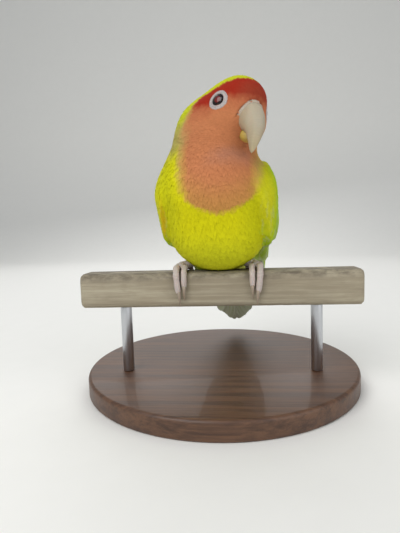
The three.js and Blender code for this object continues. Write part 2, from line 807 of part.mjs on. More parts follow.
function legSolid(side, bodyCut) {
  const middle = side * FOOT_SPREAD;
  const pad = taperedTube(
    [inPerch(middle, -3, 1.9), inPerch(middle, 0, 2.2), inPerch(middle, 3, 1.9)],
    [1.6, 2.1, 1.6],
    10,
    6,
  );
  const shank = taperedTube(
    [
      inPerch(middle, 0, 2.4),
      inPerch(middle - side * 5, 2, 3.4),
      inPerch(middle - side * 10, 5, 4.6),
      inPerch(middle - side * 12, 6, 8),
    ],
    [2.1, 1.75, 2, 2.4],
    10,
    8,
  );
  return pad.add(shank).subtract(bodyCut).subtract(perchBlock(GAP));
}

const bodyCut = wholeBody(GAP, 24, 30);
const upperSolid = upperBill().add(cere());
const lowerSolid = lowerBill();

bird.add(meshOf("tail", tail(tailCore), TAIL_YELLOW));
bird.add(meshOf("torso", torsoSolid, YELLOW));
bird.add(meshOf("neck", neckSolid, PEACH));
bird.add(meshOf("bill_upper", upperSolid.subtract(bodyCut), HORN));
bird.add(meshOf("bill_lower", lowerSolid.subtract(bodyCut), HORN));

let head = headSolid;
for (const [name, side] of [["left", 1], ["right", -1]]) {
  const eye = eyeParts(side);
  head = head.add(eye.lid).subtract(eye.socket);
  bird.add(meshOf("eye_" + name, eye.ball, EYE));
  bird.add(meshOf("wing_" + name, wing(side), WING_YELLOW));
  let leg = legSolid(side, bodyCut);
  for (const toe of TOES) {
    const { flesh, cutter, claw } = toeParts(side, toe);
    leg = leg.subtract(cutter);
    bird.add(meshOf(`toe_${toe.name}_${name}`, flesh, SKIN));
    bird.add(meshOf(`claw_${toe.name}_${name}`, claw, CLAW));
  }
  bird.add(meshOf("leg_" + name, leg, SKIN));
}
bird.add(meshOf("head", head, RED_FACE));

const group = new THREE.Group();
group.add(bird);
group.add(meshOf("perch", perchBar(), WOOD));
group.add(meshOf("stand_base", turnedPiece(0, 0, 0, BASE_THICK, BASE_RADIUS, 1.5, 40), WALNUT));
const rodTop = PERCH_TOP - PERCH_SIDE - GAP;
for (const [name, way] of [["left", 1], ["right", -1]]) {
  const rod = turnedPiece(way * ROD_X, PERCH_Y, BASE_THICK + GAP, rodTop, ROD_RADIUS, 0.4, 16);
  group.add(meshOf("stand_rod_" + name, rod, STEEL));
}
export default group;
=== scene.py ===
"""A peach-faced lovebird gripping a short square perch on a plain display stand, life size, in metres."""

import logging
import math
from collections.abc import Callable, Sequence
from dataclasses import dataclass, field
from enum import Enum

import bpy
import numpy as np
from mathutils import Matrix, Vector
from mathutils.kdtree import KDTree


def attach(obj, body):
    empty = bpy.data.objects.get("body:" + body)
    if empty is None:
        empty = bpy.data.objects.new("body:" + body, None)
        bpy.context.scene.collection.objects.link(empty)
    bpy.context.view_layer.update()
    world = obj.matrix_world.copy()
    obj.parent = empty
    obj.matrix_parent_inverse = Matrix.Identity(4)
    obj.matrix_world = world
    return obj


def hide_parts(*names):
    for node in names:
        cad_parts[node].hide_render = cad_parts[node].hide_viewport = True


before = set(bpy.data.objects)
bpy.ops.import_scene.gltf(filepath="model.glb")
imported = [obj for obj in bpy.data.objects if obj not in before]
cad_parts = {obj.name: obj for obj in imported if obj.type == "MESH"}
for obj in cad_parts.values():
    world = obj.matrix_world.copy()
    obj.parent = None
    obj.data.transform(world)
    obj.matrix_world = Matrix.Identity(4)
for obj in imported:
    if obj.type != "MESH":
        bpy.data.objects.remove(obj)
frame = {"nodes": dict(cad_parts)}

LOG = logging.getLogger("lovebird")
Array = np.ndarray
Field = Callable[[Array], Array]
Profile = Callable[[Array | float], Array]
Pair = tuple[float, float]
Triple = tuple[float, float, float]
Line = tuple[Pair, ...]
Piece = bpy.types.Object
Material = bpy.types.Material
Socket = bpy.types.NodeSocket
MM = 0.001

# Stand and perch, in metres like every size below
BASE_RADIUS = 0.062
BASE_THICK = 0.008
PERCH_LENGTH = 0.120
PERCH_SIDE = 0.015
PERCH_ROUND = 0.0026
PERCH_Y = -0.013
PERCH_TOP = 0.053
ROD_RADIUS = 0.0025
ROD_X = 0.042
GAP = 0.0003

# How the bird stands. Its own frame has its origin on the perch's top, between the feet.
BODY_YAW = math.radians(-6)
FOOT_SPREAD = 0.0159
BACK_SLOPE = math.radians(49)
SHOULDERS = np.array([0, -0.004, 0.044])

# Head
HEAD_CENTRE = np.array([0.0102, -0.0075, 0.065])
HEAD_RADII = np.array([0.0112, 0.0142, 0.0126])
HEAD_YAW = math.radians(35)
HEAD_PITCH = math.radians(-9)
HEAD_ROLL = math.radians(8)

# Eyes and lids
EYE_RADIUS = 0.0031
EYE_SINK = 0.0019
EYE_FORWARD = 0.0014
EYE_UP = 0.0005
EYE_OUT = (0.3, 0.04)
EYE_LOOK = (0.57, 0.25)
EYE_DEPTH = 0.0022
EYE_FLAT = 0.64
EYE_BARE = 0.0039
LID_INNER = 0.0024
LID_OUTER = 0.0043

# Half of the line of the bare band over the bill's root, forward, left and up in mm
CERE_LINE = ((11.6, -5.2, -4.6), (12.7, -4.3, -1.8), (13.6, -2.3, 0.9), (13.9, 0, 1.7))

# How finely a form's surface is searched for, and over what length its slope is taken, in metres
SEARCH_STEP = 0.0015
SEARCH_STEPS = 48
SEARCH_HALVINGS = 16
SLOPE_STEP = 2e-5
PROFILE_STEPS = 240

# The coat's map for baking, and the side of a feather's patch on it
BAKE_MAP = "OFBake"
BAKE_PATCH = 0.003


class Side(Enum):
    """The bird's left and right, by the sign of its X direction."""

    LEFT = 1
    RIGHT = -1

    @property
    def label(self) -> str:
        """The side's word in the names of pieces."""
        return self.name.lower()


# How full each folded wing is over the body, how far its hind feathers droop in mm, and its random seed
WING_FULLNESS = {Side.LEFT: 1, Side.RIGHT: 0.72}
WING_DROOP = {Side.LEFT: 5, Side.RIGHT: 0.5}
WING_SEED = {Side.LEFT: 4127, Side.RIGHT: 9319}


def mm(*values: float) -> Array:
    """Millimetres as an array of metres."""
    return np.array(values, float) * MM


def turned(axis: str, angle: float) -> Array:
    """A rotation matrix of an angle about one axis."""
    return np.array(Matrix.Rotation(angle, 3, axis))


def norm(vectors: Array) -> Array:
    """How long vectors are."""
    return np.linalg.norm(vectors, axis=-1)


def unit(vectors: Array) -> Array:
    """Vectors at unit length."""
    return vectors / np.maximum(np.linalg.norm(vectors, axis=-1, keepdims=True), 1e-12)


def smooth(values: Array, low: float, high: float) -> Array:
    """A soft step from 0 at low to 1 at high."""
    share = np.clip((values - low) / (high - low), 0, 1)
    return share * share * (3 - 2 * share)


def between(pair: Pair, share: Array | float) -> Array | float:
    """The value a share of the way from a pair's first to its last."""
    return pair[0] + (pair[1] - pair[0]) * share


def turns(count: int) -> Array:
    """Angles spread evenly round a full turn."""
    return 2 * math.pi * np.arange(count) / count


def crossed(rows: Array, columns: Array) -> list[Array]:
    """Two grids with every row's value beside every column's."""
    return np.meshgrid(rows, columns, indexing="ij")


def square_to(vectors: Array, ahead: Array) -> Array:
    """Vectors turned square to others, at unit length."""
    return unit(vectors - ahead * np.sum(vectors * ahead, -1, keepdims=True))


def circle(first: Array, second: Array, turn: Array) -> Array:
    """Directions round a circle from its two axes."""
    return first * np.cos(turn)[..., None] + second * np.sin(turn)[..., None]


def vane_grid(rows: int, columns: int) -> list[Array]:
    """How far along and across a vane its places lie, closer together towards its tip."""
    return crossed(1 - (1 - np.linspace(0, 1, rows)) ** 1.25, np.linspace(-1, 1, columns))


def shaft_ridge(way: Array, across: Array, height: float) -> Array:
    """How far a vane's shaft stands out, lower towards its tip."""
    return height * np.clip(1 - np.abs(across) / 0.12, 0, 1) * (1 - way * 0.6)


def blunt(share: Array, fullness: int) -> Array:
    """A width that stays full between share 0 and 1 and closes in a round at both."""
    return np.sqrt(np.clip(1 - (2 * share - 1) ** fullness, 0, 1))


HEAD_TURN = turned("Z", HEAD_YAW) @ turned("X", -HEAD_PITCH) @ turned("Y", HEAD_ROLL)
WORLD_TURN = turned("Z", BODY_YAW)
TAILWARD = np.array([0, math.cos(BACK_SLOPE), -math.sin(BACK_SLOPE)])
DORSAL = np.array([0, math.sin(BACK_SLOPE), math.cos(BACK_SLOPE)])
LEFTWARD = np.array([1.0, 0, 0])


def in_head(forward: float | Array, left: float | Array, up: float | Array) -> Array:
    """A place given along the head's own directions, in metres, as a place in the bird's frame."""
    parts = np.stack(np.broadcast_arrays(left, np.negative(forward), up), -1)
    return parts @ HEAD_TURN.T + HEAD_CENTRE


def head_way(forward: float, left: float, up: float) -> Array:
    """A direction given along the head's own directions."""
    return np.array([left, -forward, up]) @ HEAD_TURN.T


def to_world(places: Array) -> Array:
    """Places in the bird's frame as places in the model."""
    return places @ WORLD_TURN.T + np.array([0, PERCH_Y, PERCH_TOP])


def from_perch(places: Array) -> Array:
    """Places square to the perch as places in the bird's frame."""
    return places @ WORLD_TURN


def ellipsoid(centre: Array, radii: Array, turn: Array) -> Field:
    """The distance field of an ellipsoid.

    Args:
        centre: its middle.
        radii: its three radii.
        turn: its rotation matrix.

    Returns:
        The field, which is negative inside.
    """

    def depth(places: Array) -> Array:
        """How far outside the ellipsoid places lie."""
        near = ((places - centre) @ turn) / radii
        length = norm(near)
        steep = norm(near / radii)
        return length * (length - 1) / np.maximum(steep, 1e-9)

    return depth


def tapered_rod(start: Array, end: Array, radii: Pair) -> Field:
    """The distance field of a rod with a round at each end.

    Args:
        start: the middle of its first end.
        end: the middle of its last end.
        radii: its radius at both.

    Returns:
        The field, which is negative inside.
    """
    run = end - start

    def depth(places: Array) -> Array:
        """How far outside the rod places lie."""
        share = np.clip((places - start) @ run / (run @ run), 0, 1)[..., None]
        near = norm(places - start - share * run)
        return near - between(radii, share[..., 0])

    return depth


def melted(first: Field, *others: tuple[Field, float]) -> Field:
    """Several fields melted into one.

    Args:
        first: the first field.
        others: the other fields, each with the width over which it melts into those before it.

    Returns:
        One field.
    """

    def depth(places: Array) -> Array:
        """How far outside all of them places lie."""
        total = first(places)
        for other, width in others:
            other_depth = other(places)
            mix = np.maximum(width - np.abs(total - other_depth), 0) / width
            total = np.minimum(total, other_depth) - mix * mix * width / 4
        return total

    return depth


def gradient(shape: Field, places: Array) -> Array:
    """The outward direction of a field at places."""
    slopes = [shape(places + SLOPE_STEP * axis) - shape(places - SLOPE_STEP * axis) for axis in np.eye(3)]
    return unit(np.stack(slopes, -1))


def surface_from(shape: Field, origins: Array, ways: Array, offset: float | Array = 0.0) -> Array:
    """The first place from each origin along its way where a field reaches an offset.

    Args:
        shape: the field.
        origins: where the search starts.
        ways: unit directions.
        offset: the depth that is looked for.

    Returns:
        One place for each origin.
    """
    origins, ways = np.broadcast_arrays(origins, ways)
    goal = np.broadcast_to(offset, origins.shape[:-1])
    reach = np.zeros(origins.shape[:-1])
    found = np.zeros(reach.shape, bool)
    for _ in range(SEARCH_STEPS):
        inside = shape(origins + ways * reach[..., None]) < goal
        found |= ~inside
        reach = np.where(found, reach, reach + SEARCH_STEP)
        if found.all():
            break
    low, high = np.maximum(reach - SEARCH_STEP, 0), reach
    for _ in range(SEARCH_HALVINGS):
        middle = (low + high) / 2
        inside = shape(origins + ways * middle[..., None]) < goal
        low, high = np.where(inside, middle, low), np.where(inside, high, middle)
    return origins + ways * ((low + high) / 2)[..., None]


def curve_through(points: Array, shares: Array) -> Array:
    """Places on a smooth curve through points.

    Args:
        points: the points in order.
        shares: how far along the curve the places lie, 0 at the first point to 1 at the last.

    Returns:
        One place for each share.
    """
    points = np.asarray(points, float)
    padded = np.vstack([2 * points[0] - points[1], points, 2 * points[-1] - points[-2]])
    scaled = np.clip(shares, 0, 1) * (len(points) - 1)
    low = np.clip(np.floor(scaled).astype(int), 0, len(points) - 2)
    t = (scaled - low)[..., None]
    a, b, c, d = (padded[low + k] for k in range(4))
    cubic = (3 * (b - c) + d - a) * t**3 + (2 * a - 5 * b + 4 * c - d) * t**2
    return 0.5 * (2 * b + (c - a) * t + cubic)


def profile(*pairs: Pair) -> Profile:
    """A smooth line through pairs of place and value."""
    line = curve_through(np.array(pairs, float), np.linspace(0, 1, PROFILE_STEPS))
    return lambda x: np.interp(x, line[:, 0], line[:, 1])


# The folded wing's edges: mm down the back's line, and degrees from the middle of the back
WING_UPPER_EDGE = profile(
    (-8, 112), (-5, 100), (0, 79), (5, 54), (12, 30), (25, 15), (60, 13), (92, 22)
)
WING_LOWER_EDGE = profile(
    (-8, 122), (-5, 131), (1, 136), (12, 138), (25, 137), (41, 120), (55, 101), (75, 85), (92, 72)
)


@dataclass(frozen=True)
class Round:
    """One round of the body: its middle and radii in mm, its lean, and its width of melting in metres."""

    centre: Triple
    radii: Triple
    lean: float = 0.0
    blend: float = 0.008

    def shape(self) -> Field:
        """Its distance field."""
        return ellipsoid(mm(*self.centre), mm(*self.radii), turned("X", self.lean))


@dataclass
class Body:
    """The bird's body as melted rounds, the carrier that its folded wings lie on, and its coated form.

    The coated form takes in the front of both folded wings, whose small feathers pass into the flanks'.
    """

    shape: Field = field(init=False)
    carrier: Field = field(init=False)
    coated: Field = field(init=False)
    spine: Array = field(init=False)
    torso: Round = Round((0, 2, 28.5), (20.8, 21, 33), math.radians(35))
    breast: Round = Round((-1, -7, 35), (20.2, 17.5, 17))
    belly: Round = Round((0, 0, 17), (19.5, 17, 15.5))
    rump: Round = Round((0, 27, 7), (12.5, 9.5, 20), math.pi / 2 - BACK_SLOPE, 0.010)
    nape: Round = Round((-1.1, 1.5, 57.3), (15.8, 14.5, 16), 0, 0.007)
    neck_foot: Triple = (-2.2, -1, 44)
    neck_top: Triple = (3.6, -4, 58)
    neck_radii: Pair = (0.0152, 0.0122)
    neck_blend: float = 0.008
    head_blend: float = 0.007
    cheek_place: Triple = (0.003, 0, -0.004)
    cheek: Triple = (10.4, 8.4, 8)
    cheek_blend: float = 0.004
    lore_place: Triple = (0.0095, 0.0088, 0)
    lore_depth: float = 0.001
    lore_reach: float = 0.0045
    taper: Triple = (17.5, 6.6, 54)
    taper_along: float = 0.050
    taper_blend: float = 0.008
    spine_line: tuple[Triple, ...] = ((0, 24, 9), (0, 14, 20), (0, 3, 32), (0.2, -3, 45), (4.3, -5.4, 56))
    spine_step: float = 0.004
    rump_share: float = 0.13
    crown_share: float = 0.27
    midline_gap: float = 0.0004
    wing_starts: Pair = (-12, 6)
    wing_ends: Pair = (30, 40)
    wing_upper: Pair = (-3, 6)
    wing_lower: Pair = (-1.2, 2.8)
    wing_sink: float = -1.2
    wing_melt: float = 0.0024
    wing_height: Profile = profile(
        (-12, -0.4), (-6, 1.4), (-2, 2.6), (4, 3.7), (12, 4.2), (20, 4), (25, 3.3), (30, 2.2), (40, 0.5),
        (120, 0),
    )

    def __post_init__(self) -> None:
        """Sets up the fields."""
        neck = tapered_rod(mm(*self.neck_foot), mm(*self.neck_top), self.neck_radii)
        cheek = ellipsoid(in_head(*self.cheek_place), mm(*self.cheek), HEAD_TURN)
        rounded = melted(
            self.torso.shape(),
            *((part.shape(), part.blend) for part in (self.breast, self.belly, self.rump)),
            (neck, self.neck_blend),
            (self.nape.shape(), self.nape.blend),
            (ellipsoid(HEAD_CENTRE, HEAD_RADII, HEAD_TURN), self.head_blend),
            (cheek, self.cheek_blend),
        )
        forward, aside, up = self.lore_place
        lores = [in_head(forward, side.value * aside, up) for side in (Side.RIGHT, Side.LEFT)]

        def narrowed(places: Array) -> Array:
            """The rounds with the face narrower between each eye and the bill."""
            depth = rounded(places)
            for lore in lores:
                near = np.sum((places - lore) ** 2, -1) / self.lore_reach**2
                depth = depth + self.lore_depth * np.exp(-near)
            return depth

        self.shape = narrowed
        lean = turned("X", math.pi / 2 - BACK_SLOPE)
        taper = ellipsoid(self.on_back_line(self.taper_along), mm(*self.taper), lean)
        self.carrier = melted(self.shape, (taper, self.taper_blend))

        def coated(places: Array) -> Array:
            """The body with the wings' fronts melted into it."""
            bare = total = self.shape(places)
            over = melted(lambda _: bare, (taper, self.taper_blend))(places)
            for side in Side:
                edge = self.wing_edge(side, places)
                wing = bare + (over - bare) * edge - self.wing_top(side, places, edge) * MM
                mix = np.maximum(self.wing_melt - np.abs(total - wing), 0) / self.wing_melt
                total = np.minimum(total, wing) - mix * mix * self.wing_melt / 4
            return total

        self.coated = coated
        self.spine = np.array([*(mm(*point) for point in self.spine_line), HEAD_CENTRE])

    @staticmethod
    def on_back_line(along: float | Array) -> Array:
        """Places on the slanting line under the back."""
        return SHOULDERS + np.asarray(along)[..., None] * TAILWARD

    @staticmethod
    def on_wing(side: Side, places: Array) -> tuple[Array, Array, Array]:
        """Where places lie over a wing.

        Args:
            side: the wing's side.
            places: places in the bird's frame.

        Returns:
            The mm along the back's line, the degrees round it from the back, and the mm away from it.
        """
        near = places - SHOULDERS
        along = near @ TAILWARD / MM
        raised, aside = near @ DORSAL / MM, side.value * near[..., 0] / MM
        return along, np.degrees(np.arctan2(aside, raised)), np.hypot(raised, aside)

    def wing_edge(self, side: Side, places: Array) -> Array:
        """How far into a wing places lie.

        Args:
            side: the wing's side.
            places: places in the bird's frame.

        Returns:
            0 outside the wing's edges to 1 well inside them.
        """
        along, around, reach = self.on_wing(side, places)
        scale = np.radians(1) * reach
        upper = (around - WING_UPPER_EDGE(along)) * scale
        lower = (WING_LOWER_EDGE(along) - around) * scale
        ends = smooth(along, *self.wing_starts) * (1 - smooth(along, *self.wing_ends))
        return smooth(upper, *self.wing_upper) * smooth(lower, *self.wing_lower) * ends

    def wing_top(self, side: Side, places: Array, edge: Array) -> Array:
        """How far over the carrier a wing's small feathers lie, sunk into the body at the wing's edges.

        Args:
            side: the wing's side.
            places: places in the bird's frame.
            edge: how far into the wing they lie, 0 to 1.

        Returns:
            The heights in mm.
        """
        height = self.wing_height((places - SHOULDERS) @ TAILWARD / MM)
        height = np.where(height > 0, height * WING_FULLNESS[side], height)
        return self.wing_sink + (height - self.wing_sink) * edge

    def skin(self, turn: Array, way: Array, offset: float = 0.0, shape: Field | None = None) -> Array:
        """Places on the skin.

        Args:
            turn: 0 to 1 around the body.
            way: 0 at the rump's end to 1 at the crown.
            offset: how far outside the body's form the places lie.
            shape: another form to find them on.

        Returns:
            The places in the bird's frame.
        """
        middle = 1 - self.rump_share - self.crown_share
        share = np.clip((way - self.rump_share) / middle, 0, 1)
        origin = curve_through(self.spine, share)
        steps = (self.spine_step, -self.spine_step)
        after, before = (curve_through(self.spine, share + step) for step in steps)
        ahead = unit(after - before)
        side = square_to(LEFTWARD, ahead)
        up = np.cross(side, ahead)
        tilt = np.where(way < self.rump_share, -(1 - way / self.rump_share), 0.0)
        tilt = np.where(way > 1 - self.crown_share, 1 - (1 - way) / self.crown_share, tilt)
        tilt = tilt[..., None] * math.pi / 2
        angle = 2 * math.pi * turn[..., None]
        outward = side * np.cos(angle) + up * np.sin(angle)
        ways = unit(outward * np.cos(tilt) + ahead * np.sin(tilt))
        return surface_from(shape or self.shape, origin, ways, offset)

    def over_carrier(self, side: Side, along: Array, around: Array, above: Array) -> Array:
        """Places over the carrier of one wing.

        Args:
            side: the wing's side.
            along: metres down the back's line.
            around: degrees from the middle of the back.
            above: metres above the carrier.

        Returns:
            The places in the bird's frame.
        """
        along, around, above = np.broadcast_arrays(along, around, above)
        angle = np.radians(around)[..., None]
        ways = DORSAL * np.cos(angle) + side.value * LEFTWARD * np.sin(angle)
        places = surface_from(self.carrier, self.on_back_line(along), ways, above)
        places[..., 0] = side.value * np.maximum(side.value * places[..., 0], self.midline_gap)
        return places


def new_mesh(
    name: str, places: Array, faces: Array, material: Material, closed: bool = True
) -> Piece:
    """A smooth-shaded mesh object, a closed one turned the right way out.

    Args:
        name: the piece's name.
        places: its vertices in the model's frame.
        faces: rows of three or four vertex numbers.
        material: its finish.
        closed: whether its surface is closed.

    Returns:
        The new object.
    """
    corners = places[faces]
    facing = np.cross(corners[:, 1] - corners[:, 0], corners[:, 2] - corners[:, 0])
    if closed and np.sum((corners[:, 0] - places.mean(0)) * facing) < 0:
        faces = faces[:, ::-1]
    mesh = bpy.data.meshes.new(name)
    mesh.vertices.add(len(places))
    mesh.vertices.foreach_set("co", places.astype(np.float32).ravel())
    count, sides = faces.shape
    mesh.loops.add(count * sides)
    mesh.loops.foreach_set("vertex_index", faces.astype(np.int32).ravel())
    mesh.polygons.add(count)
    mesh.polygons.foreach_set("loop_start", np.arange(count, dtype=np.int32) * sides)
    mesh.polygons.foreach_set("use_smooth", np.ones(count, bool))
    mesh.update(calc_edges=True)
    mesh.validate()
    mesh.materials.append(material)
    piece = bpy.data.objects.new(name, mesh)
    bpy.context.scene.collection.objects.link(piece)
    return piece


def add_attribute(piece: Piece, name: str, values: Array) -> None:
    """Stores a number or a vector for each vertex.

    Args:
        piece: the object.
        name: the attribute's name.
        values: a number or a row of three for each vertex.
    """
    kind = "FLOAT_VECTOR" if values.ndim == 2 else "FLOAT"
    layer = piece.data.attributes.new(name, kind, "POINT")
    layer.data.foreach_set("vector" if values.ndim == 2 else "value", values.astype(np.float32).ravel())


def add_traits(piece: Piece, shape: tuple[int, ...], **traits: Array | float) -> None:
    """Stores named numbers for each vertex of a grid.

    Args:
        piece: the object.
        shape: the grid's shape.
        traits: each name with its numbers, which are spread over the grid.
    """
    for name, values in traits.items():
        add_attribute(piece, name, np.broadcast_to(values, shape).ravel())


def add_map(piece: Piece, uv: Array) -> None:
    """Adds the map for baking.

    Args:
        piece: the object.
        uv: a pair of values for each vertex.
    """
    corners = np.zeros(len(piece.data.loops), np.int32)
    piece.data.loops.foreach_get("vertex_index", corners)
    layer = piece.data.uv_layers.new(name=BAKE_MAP)
    layer.data.foreach_set("uv", uv[corners].astype(np.float32).ravel())


def grid_faces(rows: int, columns: int, wrap: bool = False) -> Array:
    """The quads of a grid of places.

    Args:
        rows: how many rows it has.
        columns: how many places a row has.
        wrap: whether each row closes on itself.

    Returns:
        Rows of four numbers.
    """
    lines = np.arange(rows - 1)[:, None] * columns
    across = np.arange(columns if wrap else columns - 1)[None, :]
    after = (across + 1) % columns
    quads = np.stack([lines + across, lines + after, lines + columns + after, lines + columns + across], -1)
    return quads.reshape(-1, 4)


def lofted(name: str, rings: Array, material: Material) -> Piece:
    """A piece from closed rings of places in the bird's frame."""
    rows, sides = rings.shape[:2]
    return new_mesh(name, to_world(rings.reshape(-1, 3)), grid_faces(rows, sides, True), material)


def finish_piece(piece: Piece, slot: str, *nodes: str) -> Piece:
    """Lets a piece ride on the model, hides the nodes it stands for, and reports it.

    Args:
        piece: the new object.
        slot: the material slot of the record that its finish belongs to; not used.
        nodes: the nodes that it stands for, if any.

    Returns:
        The same object.
    """
    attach(piece, "root")
    if nodes:
        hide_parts(*nodes)
    LOG.info("%s: %d faces", piece.name, len(piece.data.polygons))
    return piece


class Wire:
    """A number that a material works out, on which Python's operators add Math nodes."""

    def __init__(self, painter: "Painter", socket: Socket) -> None:
        """Keeps the socket and the painter whose nodes it belongs to."""
        self.painter = painter
        self.socket = socket

    def math(self, operation: str, *others: "Wire | float", first: "Wire | float | None" = None) -> "Wire":
        """This number put through a Math node.

        Args:
            operation: the node's operation.
            others: the numbers after this one.
            first: a number that comes before this one, if any.

        Returns:
            The result.
        """
        values = [self, *others] if first is None else [first, self, *others]
        inputs = {index: value for index, value in enumerate(values)}
        return self.painter.number("ShaderNodeMath", {"operation": operation}, inputs)

    def __add__(self, other: "Wire | float") -> "Wire":
        """The sum."""
        return self.math("ADD", other)

    __radd__ = __add__

    def __sub__(self, other: "Wire | float") -> "Wire":
        """The difference."""
        return self.math("SUBTRACT", other)

    def __rsub__(self, other: "Wire | float") -> "Wire":
        """The difference, with a plain number first."""
        return self.math("SUBTRACT", first=other)

    def __mul__(self, other: "Wire | float") -> "Wire":
        """The product."""
        return self.math("MULTIPLY", other)

    __rmul__ = __mul__

    def __abs__(self) -> "Wire":
        """The number without its sign."""
        return self.math("ABSOLUTE")

    def rise(self, low: float, high: float) -> "Wire":
        """A soft step from 0 at low to 1 at high."""
        inputs = {"Value": self, "From Min": low, "From Max": high}
        return self.painter.number("ShaderNodeMapRange", {"interpolation_type": "SMOOTHSTEP"}, inputs)

    def fall(self, low: float, high: float) -> "Wire":
        """A soft step from 1 at low to 0 at high."""
        return 1 - self.rise(low, high)


Colour = tuple[float, float, float]
Source = Wire | Socket | float | Sequence[float]


def srgb(red: int, green: int, blue: int) -> Colour:
    """A colour as a screen gives it, in the linear values that shaders take."""
    parts = [value / 255 for value in (red, green, blue)]
    return tuple(p / 12.92 if p < 0.04045 else ((p + 0.055) / 1.055) ** 2.4 for p in parts)


class Painter:
    """Builds one material from nodes."""

    def __init__(self, name: str) -> None:
        """Makes a material with its shader alone.

        Args:
            name: the material's name.
        """
        self.material = bpy.data.materials.new(name)
        self.material.use_nodes = True
        self.tree = self.material.node_tree
        self.tree.nodes.clear()
        self.output = self.tree.nodes.new("ShaderNodeOutputMaterial")
        self.shader = self.tree.nodes.new("ShaderNodeBsdfPrincipled")
        self.tree.links.new(self.shader.outputs[0], self.output.inputs[0])

    def node(self, kind: str, settings: dict | None = None, inputs: dict | None = None) -> bpy.types.Node:
        """A new node.

        Args:
            kind: the node's type.
            settings: its properties, which are set first.
            inputs: the values or links of its sockets, by name or number.

        Returns:
            The node.
        """
        node = self.tree.nodes.new(kind)
        for key, value in (settings or {}).items():
            setattr(node, key, value)
        for key, value in (inputs or {}).items():
            self.plug(node.inputs[key], value)
        return node

    def plug(self, socket: Socket, value: Source) -> None:
        """Sets or links one socket.

        Args:
            socket: the socket.
            value: a number, a vector or colour, or what to link it to.
        """
        if isinstance(value, Wire):
            self.tree.links.new(value.socket, socket)
        elif isinstance(value, Socket):
            self.tree.links.new(value, socket)
        elif isinstance(value, (int, float)):
            socket.default_value = value
        else:
            parts = [float(part) for part in value]
            room = len(socket.default_value)
            socket.default_value = parts + [1.0] * (room - len(parts))

    def number(self, kind: str, settings: dict, inputs: dict, output: int | str = 0) -> Wire:
        """One output of a new node as a number."""
        return Wire(self, self.node(kind, settings, inputs).outputs[output])

    def value(self, name: str) -> Wire:
        """A number that each vertex carries."""
        return self.number("ShaderNodeAttribute", {"attribute_name": name}, {}, "Fac")

    def vector(self, name: str) -> Socket:
        """A vector that each vertex carries."""
        return self.node("ShaderNodeAttribute", {"attribute_name": name}).outputs["Vector"]

    def place(self) -> Socket:
        """The place on the object, in metres."""
        return self.node("ShaderNodeTexCoord").outputs["Object"]

    def shifted(self, vector: Source, scale: Triple, move: Triple = (0, 0, 0)) -> Socket:
        """A vector stretched and moved."""
        inputs = {0: vector, 1: scale, 2: move}
        return self.node("ShaderNodeVectorMath", {"operation": "MULTIPLY_ADD"}, inputs).outputs[0]

    def parts(self, vector: Source) -> tuple[Wire, ...]:
        """A vector's three numbers."""
        outputs = self.node("ShaderNodeSeparateXYZ", {}, {0: vector}).outputs
        return tuple(Wire(self, output) for output in outputs)

    def joined(self, *parts: Wire) -> Socket:
        """A vector of three numbers."""
        return self.node("ShaderNodeCombineXYZ", {}, dict(enumerate(parts))).outputs[0]

    def dot(self, vector: Source, way: Sequence[float]) -> Wire:
        """How far a vector reaches along a way."""
        return self.number("ShaderNodeVectorMath", {"operation": "DOT_PRODUCT"}, {0: vector, 1: way}, "Value")

    def noise(self, vector: Source, scale: float, detail: float = 3, rough: float = 0.55) -> Wire:
        """Clouded noise from 0 to 1."""
        inputs = {"Vector": vector, "Scale": scale, "Detail": detail, "Roughness": rough}
        return self.number("ShaderNodeTexNoise", {}, inputs, "Fac")

    def cells(self, vector: Source, scale: float) -> Wire:
        """The distance to the nearest cell's middle."""
        return self.number("ShaderNodeTexVoronoi", {}, {"Vector": vector, "Scale": scale}, "Distance")

    def mix(self, mask: Source, first: Source, second: Source) -> Socket:
        """One colour turning into another where the mask is 1."""
        return self.node("ShaderNodeMix", {"data_type": "RGBA"}, {0: mask, 6: first, 7: second}).outputs[2]

    def scaled(self, colour: Source, factor: Wire) -> Socket:
        """A colour made lighter or darker."""
        inputs = {0: colour, "Scale": factor}
        return self.node("ShaderNodeVectorMath", {"operation": "SCALE"}, inputs).outputs[0]

    def bump(self, height: Wire, distance: float, strength: float = 1.0) -> Socket:
        """A normal that shows a height of up to distance metres."""
        inputs = {"Height": height, "Distance": distance, "Strength": strength}
        return self.node("ShaderNodeBump", {}, inputs).outputs[0]

    def dress(self, **inputs: Source) -> Material:
        """Sets the shader's sockets, with underscores for spaces, and gives the material."""
        for key, value in inputs.items():
            self.plug(self.shader.inputs[key.replace("_", " ")], value)
        return self.material


# How far places lie along the head's own directions, for the markings
FORWARD = head_way(1, 0, 0)
HEADLEFT = head_way(0, 1, 0)
UPWARD = head_way(0, 0, 1)


